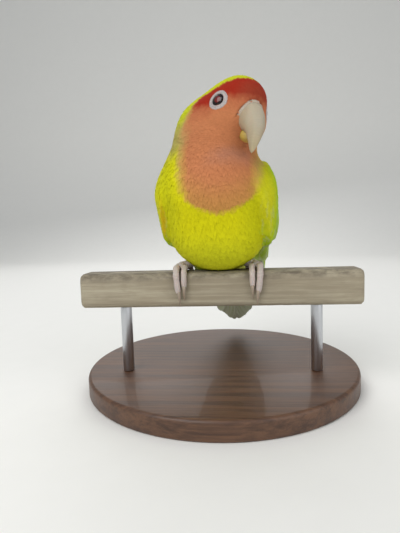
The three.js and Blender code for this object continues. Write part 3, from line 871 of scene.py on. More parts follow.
@dataclass(frozen=True)
class Plumage:
    """The markings that skin and coat share, laid out by places in the bird's frame in mm."""

    red: Colour = srgb(158, 40, 22)
    red_front: Colour = srgb(148, 58, 38)
    peach: Colour = srgb(195, 124, 82)
    peach_low: Colour = srgb(198, 142, 76)
    orange: Colour = srgb(184, 108, 72)
    cream: Colour = srgb(190, 164, 100)
    nape: Colour = srgb(176, 164, 84)
    belly: Colour = srgb(216, 210, 14)
    belly_low: Colour = srgb(208, 210, 34)
    flank: Colour = srgb(192, 192, 16)
    crown: Colour = srgb(190, 196, 14)
    back: Colour = srgb(164, 190, 30)
    rump: Colour = srgb(170, 204, 170)
    under_tail: Colour = srgb(184, 200, 110)
    # Painted shade under the bill, greyer and darker than the peach
    throat: Colour = srgb(166, 122, 108)
    wing_front: Colour = srgb(204, 202, 30)
    wing_outer: Colour = srgb(166, 196, 26)
    # Painted shade of the gap between the folded wing and the flank
    wing_line: Colour = srgb(214, 170, 24)
    wing_pale: Colour = srgb(184, 196, 130)

    def zone(self, paint: Painter, place: Socket) -> Socket:
        """The colour of the plumage at a place.

        Args:
            paint: the material's painter.
            place: the place in the bird's frame, in mm.

        Returns:
            The colour.
        """
        drift = {"Vector": place, "Scale": 0.5, "Detail": 4}
        cloud = paint.node("ShaderNodeTexNoise", {}, drift).outputs["Color"]
        # Every edge wanders by up to 1.5 mm, so that no marking ends in a clean line
        wander = paint.shifted(cloud, (3, 3, 3), (-1.5, -1.5, -1.5))
        moved = paint.node("ShaderNodeVectorMath", {"operation": "ADD"}, {0: place, 1: wander}).outputs[0]
        centre = HEAD_CENTRE / MM
        forward = paint.dot(moved, FORWARD) - float(centre @ FORWARD)
        up = paint.dot(moved, UPWARD) - float(centre @ UPWARD)
        x, y, z = paint.parts(moved)
        along = paint.dot(moved, TAILWARD) - float(SHOULDERS @ TAILWARD / MM)
        above = paint.dot(moved, DORSAL) - float(SHOULDERS @ DORSAL / MM)

        # The peach front: the face, and the bib whose middle shifts to the bird's left up the neck
        on_head = z.rise(52, 62)
        neck = z.rise(44, 60)
        beside = abs(x - 4.2 - neck * 3) - neck * 1.6
        face = forward.rise(-9.5, -4) * on_head
        breast = beside.fall(10.6, 17.2) * y.fall(-9, -3) * (1 - on_head)
        front = face + breast
        low_edge = z - (x - 4) * (x - 4) * 0.036
        peach = front * low_edge.rise(23.6, 26.6)
        # The red brow, under a slanting line where the crown's yellow starts
        cap = (up - forward * 0.55).fall(4.7, 6.3)
        red_edge = forward.rise(2.5, 8) * 4.2 - 1.9
        red = cap * (up - red_edge).rise(-1.9, 1.9) * forward.rise(-9, -5)

        # From the belly to flanks, back, nape, crown, rump and under the tail, then the warm colours with the
        # painted shade under the bill
        colour = paint.mix(z.fall(4, 22), self.belly, self.belly_low)
        colour = paint.mix(abs(x).rise(9, 17) * 0.7, colour, self.flank)
        colour = paint.mix(above.rise(2, 12) * y.rise(-8, 2), colour, self.back)
        colour = paint.mix(z.rise(44, 54) * y.fall(0, 12), colour, self.nape)
        colour = paint.mix(z.rise(57, 66), colour, self.crown)
        colour = paint.mix(along.rise(36, 50) * above.rise(-1, 6), colour, self.rump)
        colour = paint.mix(along.rise(42, 60) * above.fall(-6, 2), colour, self.under_tail)
        rim = (front * (1 - front) * 4) * z.rise(30, 44) * cap
        colour = paint.mix(rim * 0.7, colour, self.cream)
        warm = paint.mix(low_edge.fall(24, 40), self.peach, self.peach_low)
        warm = paint.mix((up - red_edge).rise(-7, -1) * on_head, warm, self.orange)
        # Painted shade: the throat just under the bill is tinted greyer and darker
        under = forward.rise(9.5, 14) * up.fall(-17, -12) * z.rise(40, 47)
        warm = paint.mix(under * 0.4, warm, self.throat)
        colour = paint.mix(peach * cap, colour, warm)
        deep = paint.mix(forward.rise(8, 14), self.red, self.red_front)
        return paint.mix(red, colour, deep)

    def wing(self, paint: Painter, place: Socket) -> Socket:
        """The colour of a folded wing's feathers: bright yellow in front, yellow-green outside.

        Args:
            paint: the material's painter.
            place: the place in the bird's frame, in mm.

        Returns:
            The colour.
        """
        x, y, z = paint.parts(place)
        cloud = paint.noise(place, 0.35, 4)
        facing = (y + (cloud - 0.5) * 9).fall(-14, -3)
        colour = paint.mix(facing, self.wing_outer, self.wing_front)
        streak = paint.noise(paint.shifted(place, (0.9, 0.22, 0.16)), 1.0, 3)
        low = z.fall(22, 38) * y.fall(-3, 6) * (1 - facing * 0.6)
        colour = paint.mix(streak.rise(0.5, 0.62) * low * 0.6, colour, self.wing_pale)
        # Painted shade: a darker orange line along the bird's right wing edge, where it meets the flank
        off = abs(x + 18.6 + (38 - z) * 0.14) + (cloud - 0.5) * 1.2
        line = off.fall(0.4, 1.5) * z.rise(14, 20) * z.fall(38, 46) * y.fall(-8, -4)
        return paint.mix(line * 0.7, colour, self.wing_line)

    def skin(self) -> Material:
        """The bare skin and down under the coat."""
        paint = Painter("plumage_skin")
        place = paint.vector("place")
        colour = self.zone(paint, place)
        down = paint.noise(place, 2.4, 6, 0.7)
        shaded = paint.scaled(colour, 0.55 + down * 0.3)
        normal = paint.bump(down, 0.0004)
        return paint.dress(Base_Color=shaded, Roughness=0.9, Normal=normal, Specular_IOR_Level=0.2)

    def coat(self) -> Material:
        """The small feathers of head and body."""
        paint = Painter("plumage_coat")
        place = paint.vector("place")
        along, across, shade = (paint.value(name) for name in ("along", "across", "shade"))
        colour = paint.mix(paint.value("wing"), self.zone(paint, place), self.wing(paint, place))
        joined = paint.joined(across * 7, along * 1.2, shade * 90)
        strands = paint.noise(joined, 1.6, 3, 0.6)
        barbs = (along * 9 - abs(across) * 4).math("PINGPONG", 0.5) * 2
        # Painted shade: each feather is darker towards its root, where it tucks under the feathers ahead
        depth = 0.84 + along.rise(0.1, 0.75) * 0.16
        light = depth * (0.94 + shade * 0.1) * (0.93 + strands * 0.14)
        tinted = paint.scaled(colour, light)
        normal = paint.bump(strands * 0.7 + barbs * 0.3, 0.0001, 0.7)
        rough = 0.7 + strands * 0.2
        return paint.dress(Base_Color=tinted, Roughness=rough, Normal=normal, Specular_IOR_Level=0.12)


@dataclass(frozen=True)
class FlightFinish:
    """The large feathers of wings and tail, yellow-green with pale soft edges."""

    name: str
    body: Colour | None = None
    tip: Colour = srgb(186, 200, 140)
    edge: Colour = srgb(200, 210, 168)
    shaft: Colour = srgb(206, 206, 120)

    def material(self) -> Material:
        """A vane with its shaft, barbs and pale edge."""
        paint = Painter(self.name)
        along, across, shade = (paint.value(name) for name in ("along", "across", "shade"))
        pale = paint.value("pale")
        place = paint.vector("place")
        joined = paint.joined(across * 2, along * 6, shade * 60)
        cloud = paint.noise(joined, 1.5, 4, 0.6)
        barbs = (along * 46 - abs(across) * 7 + cloud * 0.4).math("PINGPONG", 0.5) * 2
        edge = (abs(across) + (cloud - 0.5) * 0.35).rise(0.45, 0.95)
        tip = (along + (cloud - 0.5) * 0.2).rise(0.7, 1.0)
        body = self.body or Plumage().wing(paint, place)
        colour = paint.mix(tip * pale, body, self.tip)
        colour = paint.mix(edge * pale, colour, self.edge)
        colour = paint.mix(abs(across).fall(0.02, 0.07) * 0.5, colour, self.shaft)
        light = (0.82 + shade * 0.2) * (0.9 + cloud * 0.16) * (0.94 + barbs * 0.06)
        colour = paint.scaled(colour, light)
        mottle = paint.noise(place, 1.1, 3)
        normal = paint.bump(barbs * 0.5 + cloud * 0.3 + mottle * 0.2, 0.0001, 0.8)
        rough = 0.55 + cloud * 0.16
        return paint.dress(Base_Color=colour, Roughness=rough, Normal=normal, Specular_IOR_Level=0.2)


@dataclass(frozen=True)
class HornFinish:
    """The bill: pale horn with faint growth lines, translucent and a little chalky."""

    base: Colour = srgb(172, 163, 147)
    tip: Colour = srgb(186, 170, 138)
    root: Colour = srgb(188, 178, 164)
    stain: Colour = srgb(196, 168, 52)
    # Painted shade: the greyer colour the horn takes towards its sides
    side: Colour = srgb(164, 148, 126)

    def material(self, name: str, stained: float) -> Material:
        """Horn from root to tip.

        Args:
            name: the material's name.
            stained: how yellow it is, 0 to 1.

        Returns:
            The material.
        """
        paint = Painter(name)
        along, across = paint.value("along"), paint.value("across")
        place = paint.place()
        cloud = paint.noise(place, 420, 5, 0.6)
        lines = paint.noise(paint.shifted(place, (300, 300, 1600)), 1, 4, 0.6)
        colour = paint.mix(along.rise(0.55, 1), self.base, self.tip)
        colour = paint.mix(along.fall(0, 0.18), colour, self.root)
        # Painted shade: greyer towards the sides, so that the ridge stays lighter
        colour = paint.mix(abs(across).rise(0.45, 0.95) * 0.8, colour, self.side)
        colour = paint.mix((cloud + 0.35).rise(0.4, 0.9) * stained, colour, self.stain)
        growth = (along * 26 + lines * 2.2).math("PINGPONG", 0.5) * 2
        # The last term darkens the sides a little more, as painted shade
        colour = paint.scaled(colour, 0.9 + growth * 0.05 + cloud * 0.12 - abs(across) * 0.03)
        normal = paint.bump(growth * 0.35 + cloud * 0.65, 0.00012, 0.7)
        paint.dress(Base_Color=colour, Roughness=0.38 + cloud * 0.18, Normal=normal)
        return paint.dress(Subsurface_Weight=0.12, Subsurface_Scale=0.001)


@dataclass(frozen=True)
class BareSkinFinish:
    """Bare skin with fine grains or scutes, and painted shade in the creases between them."""

    name: str
    colour: Colour
    crease: Colour
    grain: float = 2200
    depth: float = 0.00015
    scutes: float = 0.0

    def material(self) -> Material:
        """Skin with painted shade: its creases are darker than its grains."""
        paint = Painter(self.name)
        place = paint.place()
        grains = paint.cells(place, self.grain).fall(0.1, 0.75)
        cloud = paint.noise(place, 300, 4)
        raised = grains
        if self.scutes:
            bands = (paint.value("along") * self.scutes + cloud * 0.25).math("PINGPONG", 0.5) * 2
            top = paint.value("across").rise(-0.1, 0.5)
            raised = grains * (1 - top) * 0.6 + bands.rise(0.02, 0.3) * top
        # Painted shade: the crease colour fills the creases between grains and scutes
        colour = paint.mix(raised, self.crease, self.colour)
        colour = paint.scaled(colour, 0.84 + cloud * 0.3)
        normal = paint.bump(raised + cloud * 0.3, self.depth)
        paint.dress(Base_Color=colour, Roughness=0.5 + cloud * 0.2, Normal=normal)
        return paint.dress(Subsurface_Weight=0.1, Subsurface_Scale=0.001)


@dataclass(frozen=True)
class EyeFinish:
    """The eye: a ruby-brown pupil in a dark iris under a wet clear coat."""

    pupil: Colour = srgb(104, 26, 24)
    iris: Colour = srgb(26, 12, 10)
    rim: Colour = srgb(12, 8, 8)

    def material(self) -> Material:
        """The eye from its middle outwards."""
        paint = Painter("eye_wet")
        radial = paint.value("radial")
        place = paint.place()
        rays = paint.noise(place, 1800, 4)
        colour = paint.mix(radial.rise(1.15, 1.4), self.pupil, self.iris)
        colour = paint.mix(radial.rise(1.9, 2.3), colour, self.rim)
        colour = paint.scaled(colour, 0.75 + rays * 0.5)
        normal = paint.bump(rays, 0.00001, 0.2)
        return paint.dress(
            Base_Color=colour, Roughness=0.16, Normal=normal, Coat_Weight=0.4, Coat_Roughness=0.06, IOR=1.34
        )


@dataclass(frozen=True)
class WoodFinish:
    """Wood with grain along the X direction, darker in blotches along its upper edges."""

    name: str
    light: Colour
    dark: Colour
    dirt: Colour
    band_top: float | None = None
    rough: float = 0.7
    coat: float = 0.0

    def material(self) -> Material:
        """Grain, pores, and a darker band under the top."""
        paint = Painter(self.name)
        place = paint.place()
        drift = paint.noise(place, 60, 3)
        fibre = paint.noise(paint.shifted(place, (40, 900, 900)), 1, 6, 0.65)
        rings = paint.noise(paint.shifted(place, (9, 260, 260)), 1, 3, 0.5)
        pores = paint.noise(paint.shifted(place, (160, 3200, 3200)), 1, 2)
        grain = fibre * 0.55 + rings * 0.45
        colour = paint.mix(grain.rise(0.35, 0.65), self.dark, self.light)
        colour = paint.mix(pores.fall(0.28, 0.42) * 0.45, colour, self.dark)
        if self.band_top is not None:
            height = paint.dot(place, (0, 0, 1))
            # The last few mm under the top turn darker in blotches
            near = height.rise(self.band_top - 0.0048, self.band_top - 0.0008)
            blotch = paint.noise(paint.shifted(place, (1, 2, 2)), 130, 5, 0.65)
            colour = paint.mix(blotch.rise(0.5, 0.68) * 0.4, colour, self.dark)
            colour = paint.mix(near * (blotch + fibre * 0.5 - 0.3).rise(0.25, 0.6) * 0.8, colour, self.dirt)
        colour = paint.scaled(colour, 0.86 + drift * 0.28)
        normal = paint.bump(grain * 0.7 + pores * 0.3, 0.00025, 0.7)
        rough = self.rough + (grain - 0.5) * 0.2
        return paint.dress(Base_Color=colour, Roughness=rough, Normal=normal, Coat_Weight=self.coat)


@dataclass(frozen=True)
class SteelFinish:
    """Brushed steel rods."""

    colour: Colour = srgb(196, 198, 202)

    def material(self) -> Material:
        """Fine brush marks along the rod."""
        paint = Painter("steel_brushed")
        place = paint.place()
        brush = paint.noise(paint.shifted(place, (4000, 4000, 120)), 1, 3)
        colour = paint.scaled(self.colour, 0.86 + brush * 0.28)
        normal = paint.bump(brush, 0.00002, 0.4)
        return paint.dress(Base_Color=colour, Metallic=1.0, Roughness=0.24 + brush * 0.16, Normal=normal)


@dataclass(frozen=True)
class FloorFinish:
    """A plain pale floor."""

    colour: Colour = srgb(238, 237, 233)

    def material(self) -> Material:
        """Matt paper with hardly any grain."""
        paint = Painter("floor_paper")
        grain = paint.noise(paint.place(), 90, 4)
        return paint.dress(Base_Color=paint.scaled(self.colour, 0.985 + grain * 0.03), Roughness=0.9)


def clear_of_perch(places: Array) -> Array:
    """Pushes places out of the perch by the shortest way.

    Args:
        places: places in the bird's frame.

    Returns:
        The places, each outside the perch or as it was.
    """
    square = places @ WORLD_TURN.T
    half = PERCH_SIDE / 2 + GAP
    into_top = GAP - square[..., 2]
    into_side = half - np.abs(square[..., 1])
    inside = (into_top > 0) & (into_side > 0) & (square[..., 2] > -PERCH_SIDE - GAP)
    by_top = inside & (into_top <= into_side)
    by_side = inside & ~by_top
    square[..., 2] = np.where(by_top, GAP, square[..., 2])
    square[..., 1] = np.where(by_side, np.sign(square[..., 1]) * half, square[..., 1])
    return square @ WORLD_TURN


@dataclass
class Skin:
    """One skin for head, neck, torso and the root of the tail, under the coat."""

    body: Body
    depth: float = 0.0011
    columns: int = 150
    rows: int = 190
    ends: Pair = (0.0005, 0.9995)

    def build(self) -> Piece:
        """Makes the skin, which stands for the nodes of flesh."""
        way, turn = crossed(np.linspace(*self.ends, self.rows), np.arange(self.columns) / self.columns)
        rings = clear_of_perch(self.body.skin(turn, way, -self.depth))
        piece = lofted("skin", rings, Plumage().skin())
        add_attribute(piece, "place", rings.reshape(-1, 3) / MM)
        add_map(piece, np.stack([turn.ravel(), way.ravel()], -1))
        return finish_piece(piece, "plumage_yellow", "head", "neck", "torso")


@dataclass
class Roots:
    """Where feathers grow: place, its turn and way on the skin, the way outward and the lie."""

    place: Array
    turn: Array
    way: Array
    out: Array
    lie: Array

    def some(self, chosen: Array) -> "Roots":
        """The chosen roots alone."""
        parts = (self.place, self.turn, self.way, self.out, self.lie)
        return Roots(*(part[chosen] for part in parts))


@dataclass
class Coat:
    """The small feathers of head and body, in overlapping rows from bill to tail."""

    body: Body
    rows: int = 5
    columns: int = 7
    pieces: int = 7
    seed: int = 71
    tries_around: int = 560
    tries_along: int = 660
    tried: Pair = (0.004, 0.996)
    grown: Pair = (0.002, 0.998)
    poles: Pair = (0.0005, 0.9995)
    way_step: float = 0.006
    sizes: Profile = profile((0, 1.3), (4, 1.6), (9, 2.2), (18, 3.2), (32, 4.8), (55, 6.2), (110, 8))
    wing_sizes: Profile = profile((-12, 2.6), (0, 3.4), (12, 4.8), (24, 5.8), (120, 6))
    wing_depth: Pair = (0.0006, 0.0022)
    spacing_share: float = 0.18
    root_share: float = 0.3
    vane_line: float = 24
    deepest: float = 6
    bill_root: Triple = (0.012, 0, -0.003)
    parting: Triple = (0.014, 0, -0.004)
    parting_reach: Pair = (0.013, 0.026)
    bill_front: float = 0.0105
    bill_heights: Pair = (-0.0112, -0.0004)
    bill_low: float = -0.007
    bill_halves: Pair = (0.0026, 0.0042)
    cere_reach: float = 0.0009
    cere_points: int = 24
    lengths: Pair = (0.88, 1.14)
    widths: Pair = (0.5, 0.62)
    twist: float = 0.09
    notch: float = 0.2
    fray: float = 0.035
    sunk: float = 0.0006
    lift: float = 0.032
    lifts: Pair = (0.7, 1.4)
    curl: float = 0.05
    settling: int = 3

    def distance_from_bill(self, places: Array) -> Array:
        """How far places are from the bill's root, in mm."""
        return norm(places - in_head(*self.bill_root)) / MM

    def lie_at(self, places: Array, out: Array, down: Array) -> Array:
        """The direction in which feathers lie.

        Args:
            places: roots in the bird's frame.
            out: outward directions there.
            down: directions down the body there.

        Returns:
            Unit directions along the surface.
        """
        from_bill = unit(places - in_head(*self.parting))
        share = smooth(norm(places - HEAD_CENTRE), *self.parting_reach)[:, None]
        return square_to(from_bill * (1 - share) + unit(down) * share, out)

    def roots(self, rng: np.random.Generator) -> Roots:
        """Roots spread evenly over the coated form, closer where feathers are small.

        Args:
            rng: seeded random numbers.

        Returns:
            The roots.
        """
        around = np.arange(self.tries_around) / self.tries_around
        way, turn = crossed(np.linspace(*self.tried, self.tries_along), around)
        way = np.clip(way + rng.uniform(-0.5, 0.5, way.shape) / self.tries_along, *self.grown)
        turn = (turn + rng.uniform(-0.5, 0.5, turn.shape) / self.tries_around) % 1
        way, turn = way.ravel(), turn.ravel()
        places = self.body.skin(turn, way, 0, self.body.coated)
        seen = ~self.hidden(places)
        places, turn, way = places[seen], turn[seen], way[seen]
        order = rng.permutation(len(places))
        keep = self.thinned(places, self.size_at(places) * self.spacing_share, order)
        places, turn, way = places[keep], turn[keep], way[keep]
        out = gradient(self.body.coated, places)
        behind, ahead = (
            self.body.skin(turn, np.clip(way + step, *self.poles)) for step in (-self.way_step, self.way_step)
        )
        over = self.over_wing(places)[:, None]
        down = unit(behind - ahead) * (1 - over) + TAILWARD * over
        return Roots(places, turn, way, out, self.lie_at(places, out, down))

    def over_wing(self, places: Array) -> Array:
        """How much of a folded wing's feathers grow at places, 0 on the body to 1 on a wing."""
        return smooth(self.body.shape(places), *self.wing_depth)

    def size_at(self, places: Array) -> Array:
        """How long feathers are.

        Args:
            places: roots in the bird's frame.

        Returns:
            Their lengths in metres.
        """
        over = self.over_wing(places)
        on_wing = self.wing_sizes((places - SHOULDERS) @ TAILWARD / MM)
        return (self.sizes(self.distance_from_bill(places)) * (1 - over) + on_wing * over) * MM

    def hidden(self, places: Array) -> Array:
        """Where the wings' large feathers leave nothing of the coat to see.

        Args:
            places: places in the bird's frame.

        Returns:
            A truth for each place.
        """
        found = np.zeros(len(places), bool)
        for side in Side:
            along, around, reach = self.body.on_wing(side, places)
            lower = (WING_LOWER_EDGE(along) - around) * (np.radians(1) * reach)
            found |= (side.value * places[:, 0] >= 0) & (along > self.vane_line) & (lower > self.deepest)
        return found

    @staticmethod
    def thinned(places: Array, spacing: Array, order: Array) -> Array:
        """Thins places out until none has a neighbour within its spacing.

        Args:
            places: places in the bird's frame.
            spacing: the least distance for each.
            order: the order in which they are kept.

        Returns:
            The numbers of those that stay.
        """
        points = places.tolist()
        tree = KDTree(len(points))
        for index, point in enumerate(points):
            tree.insert(point, index)
        tree.balance()
        alive = np.ones(len(points), bool)
        kept = []
        for index in order.tolist():
            if alive[index]:
                kept.append(index)
                near = [found[1] for found in tree.find_range(points[index], spacing[index])]
                alive[near] = False
        return np.array(kept)

    def bare(self, places: Array) -> Array:
        """Where no feather grows: the eyes with their lids, and the bill with its cere.

        Args:
            places: places in the bird's frame.

        Returns:
            A truth for each place.
        """
        ahead, beside, height = ((places - HEAD_CENTRE) @ way for way in (FORWARD, HEADLEFT, UPWARD))
        half = np.where(height < self.bill_low, *self.bill_halves)
        low, high = self.bill_heights
        found = (ahead > self.bill_front) & (np.abs(beside) < half) & (height < high) & (height > low)
        line = curve_through(np.array(CERE_LINE), np.linspace(0, 1, self.cere_points)) * MM
        for side in Side:
            eye = eye_centre(self.body, side)[0]
            found |= norm(places - eye) < EYE_BARE
            for forward, left, up in line:
                near = norm(places - in_head(forward, side.value * left, up))
                found |= near < self.cere_reach
        return found

    def grow(self, name: str, roots: Roots, material: Material, rng: np.random.Generator) -> None:
        """Makes one piece of the coat.

        Args:
            name: the piece's name.
            roots: where its feathers grow.
            material: its finish.
            rng: seeded random numbers.
        """
        count = len(roots.place)
        each = (count, self.rows, self.columns)
        size = self.size_at(roots.place)[:, None, None]
        length = size * rng.uniform(*self.lengths, (count, 1, 1))
        width = size * rng.uniform(*self.widths, (count, 1, 1))
        twist = rng.normal(0, self.twist, (count, 1))
        lie = unit(roots.lie + np.cross(roots.out, roots.lie) * twist)
        sideways = np.cross(roots.out, lie)
        along, across = crossed(np.linspace(0, 1, self.rows), np.linspace(-1, 1, self.columns))
        notch = rng.uniform(0, self.notch, (count, 1, self.columns)) * along[None] ** 3
        reach = (along * (1 - 0.3 * np.abs(across) ** 2.2))[None] * (1 - notch)
        spread = 0.3 + 0.7 * np.sin(np.pi * np.clip(along * 0.78 + 0.1, 0, 1))
        fray = rng.normal(0, self.fray, (count, 1, self.columns)) * along[None] ** 2
        aside = across[None] * spread[None] + fray
        places = (
            roots.place[:, None, None]
            + lie[:, None, None] * (reach * length)[..., None]
            + sideways[:, None, None] * (aside * width / 2)[..., None]
        )
        lift = self.lift * size * rng.uniform(*self.lifts, (count, 1, 1))
        height = (self.sunk + lift) * np.clip(reach, 0, 1) ** 0.8 - self.sunk
        height = height - self.curl * width * across[None] ** 2
        for _ in range(self.settling):
            places = places - roots.out[:, None, None] * (self.body.coated(places) - height)[..., None]
        places = clear_of_perch(places).reshape(-1, 3)
        cells = grid_faces(self.rows, self.columns)[:, ::-1]
        faces = (cells[None] + np.arange(count)[:, None, None] * self.rows * self.columns).reshape(-1, 4)
        piece = new_mesh(name, to_world(places), faces, material, False)
        home = np.broadcast_to(roots.place[:, None, None], (*each, 3)).reshape(-1, 3)
        add_attribute(piece, "place", (home * self.root_share + places * (1 - self.root_share)) / MM)
        wing = self.over_wing(roots.place)[:, None, None]
        add_traits(piece, each, wing=wing, along=along, across=across, shade=rng.random((count, 1, 1)))
        patch = np.stack([np.broadcast_to(part, each) for part in (across / 2, along - 0.5)], -1) * BAKE_PATCH
        home = np.stack([roots.turn, roots.way], -1)[:, None, None] * 0.98 + 0.01
        add_map(piece, (home + patch).reshape(-1, 2))
        self.soften(piece, gradient(self.body.coated, places) @ WORLD_TURN.T)
        finish_piece(piece, "plumage_yellow")

    @staticmethod
    def soften(piece: Piece, out: Array, share: float = 0.8) -> None:
        """Turns the shading of feathers towards that of the form under them.

        Args:
            piece: the piece of the coat.
            out: the form's outward direction at each vertex.
            share: how far the shading turns.
        """
        mesh = piece.data
        own = np.zeros(len(mesh.vertices) * 3, np.float32)
        mesh.vertices.foreach_get("normal", own)
        own = own.reshape(-1, 3)
        facing = np.sign(np.sum(own * out, -1, keepdims=True))
        facing[facing == 0] = 1
        mixed = unit(own * facing * (1 - share) + out * share)
        mesh.normals_split_custom_set_from_vertices(mixed.tolist())

    def build(self) -> None:
        """Makes the coat in a few pieces."""
        rng = np.random.default_rng(self.seed)
        material = Plumage().coat()
        roots = self.roots(rng)
        roots = roots.some(~self.bare(roots.place))
        order = np.argsort(roots.way)
        LOG.info("coat: %d feathers", len(order))
        for number, chosen in enumerate(np.array_split(order, self.pieces)):
            self.grow(f"coat_{number + 1}", roots.some(chosen), material, rng)


def eye_centre(body: Body, side: Side) -> tuple[Array, Array]:
    """The middle of an eye and the way it looks.

    Args:
        body: the bird's body.
        side: the eye's side.

    Returns:
        The place in the bird's frame, and a unit direction.
    """
    outward, look = (unit(head_way(forward, side.value, up)) for forward, up in (EYE_OUT, EYE_LOOK))
    surface = surface_from(body.shape, in_head(EYE_FORWARD, 0, EYE_UP)[None], outward[None])[0]
    return surface - look * EYE_SINK, look


@dataclass
class Eye:
    """One eye with its bare lids."""

    body: Body
    side: Side
    ball_rows: int = 28
    ball_sides: int = 40
    hidden_radial: float = 4
    lid_sides: int = 128
    lid_rows: int = 18
    lid_height: Profile = profile((0, 0.3), (0.14, 0.5), (0.4, 0.34), (0.75, 0.26), (1, -0.3))
    lid_thick: float = 0.0009
    bead: float = 0.00006
    fold: float = 0.00007
    corner: float = 0.00012
    settling: int = 4

    def build(self) -> None:
        """Makes the eye and its lids."""
        centre, look = eye_centre(self.body, self.side)
        first = unit(np.cross(look, UPWARD))
        second = np.cross(first, look)
        angle = np.linspace(0.001, math.pi - 0.001, self.ball_rows)[:, None]
        ring = circle(first, second, turns(self.ball_sides)[None])
        flat = np.cos(angle) * EYE_DEPTH + EYE_SINK - EYE_DEPTH * EYE_FLAT
        places = centre + look * flat[..., None] + ring * (EYE_RADIUS * np.sin(angle))[..., None]
        radial = np.sin(angle) * EYE_RADIUS / MM + (angle > math.pi / 2) * self.hidden_radial
        ball = lofted(f"eyeball_{self.side.label}", places, EyeFinish().material())
        add_traits(ball, places.shape[:2], radial=radial)
        finish_piece(ball, "eye", f"eye_{self.side.label}")
        self.build_lids(centre, look, first, second)

    def build_lids(self, centre: Array, look: Array, first: Array, second: Array) -> None:
        """Makes the two lids as a ring of bare skin that lies on the face, with beads along its rim.

        Args:
            centre: the eye's middle.
            look: the way it looks.
            first: one axis of its round.
            second: the other axis.
        """
        turn = turns(self.lid_sides)[:, None]
        share = np.linspace(0, 1, self.lid_rows)[None]
        radius = between((LID_INNER, LID_OUTER), share) + 0 * turn
        beads = np.abs(np.cos(turn * 16)) * (smooth(share, 0.1, 0.25) - smooth(share, 0.3, 0.5))
        folds = np.abs(np.cos(turn * 11 + 0.7)) * (smooth(share, 0.5, 0.6) - smooth(share, 0.7, 0.85))
        corners = np.exp(-((np.cos(turn) / 0.1) ** 2)) * smooth(share, 0, 0.5)
        height = self.lid_height(share) * MM + self.bead * beads + self.fold * folds - self.corner * corners
        places = centre + circle(first, second, turn) * radius[..., None] + look * EYE_SINK
        for _ in range(self.settling):
            places = places - look * (self.body.shape(places) - height)[..., None]
        under = places - look * self.lid_thick
        loops = np.concatenate([places, under[:, ::-1]], 1)
        faces = grid_faces(self.lid_sides + 1, loops.shape[1], True) % (self.lid_sides * loops.shape[1])
        finish = BareSkinFinish("lid_skin", srgb(186, 182, 180), srgb(168, 156, 152), 2600, 0.0001)
        lids = new_mesh(f"lids_{self.side.label}", to_world(loops.reshape(-1, 3)), faces, finish.material())
        finish_piece(lids, "bare_skin")


@dataclass(frozen=True)
class Tier:
    """A tier of vanes on a folded wing, each pair for its first vane, at the back, and its last one."""

    name: str
    count: int
    root_along: Pair
    root_around: Pair
    tip_along: Pair
    tip_around: Pair
    width: Pair
    root_lift: Pair
    tip_lift: Pair
    rise: float
    pale: float


WING_TIERS = (
    Tier(
        "primaries",
        9, (35, 38), (58, 104), (71, 92), (34, 62), (6.6, 5.8), (1.2, 1.0), (1.0, 0.9), 0.45, 1.0
    ),
    Tier(
        "secondaries",
        10, (26, 34), (24, 116), (64, 50), (22, 104), (8.6, 7.6), (2.0, 1.6), (2.5, 2.3), 0.5, 0.75
    ),
    Tier(
        "greater_coverts",
        12, (19, 21), (24, 123), (43, 36), (21, 120), (8.2, 7), (2.6, 2.6), (3.6, 3.5), 0.4, 0.4
    ),
    Tier(
        "median_coverts",
        13, (13, 14), (28, 127), (30, 25), (20, 127), (7.4, 6.4), (2.4, 2.4), (4.2, 4.1), 0.35, 0.2
    ),
)


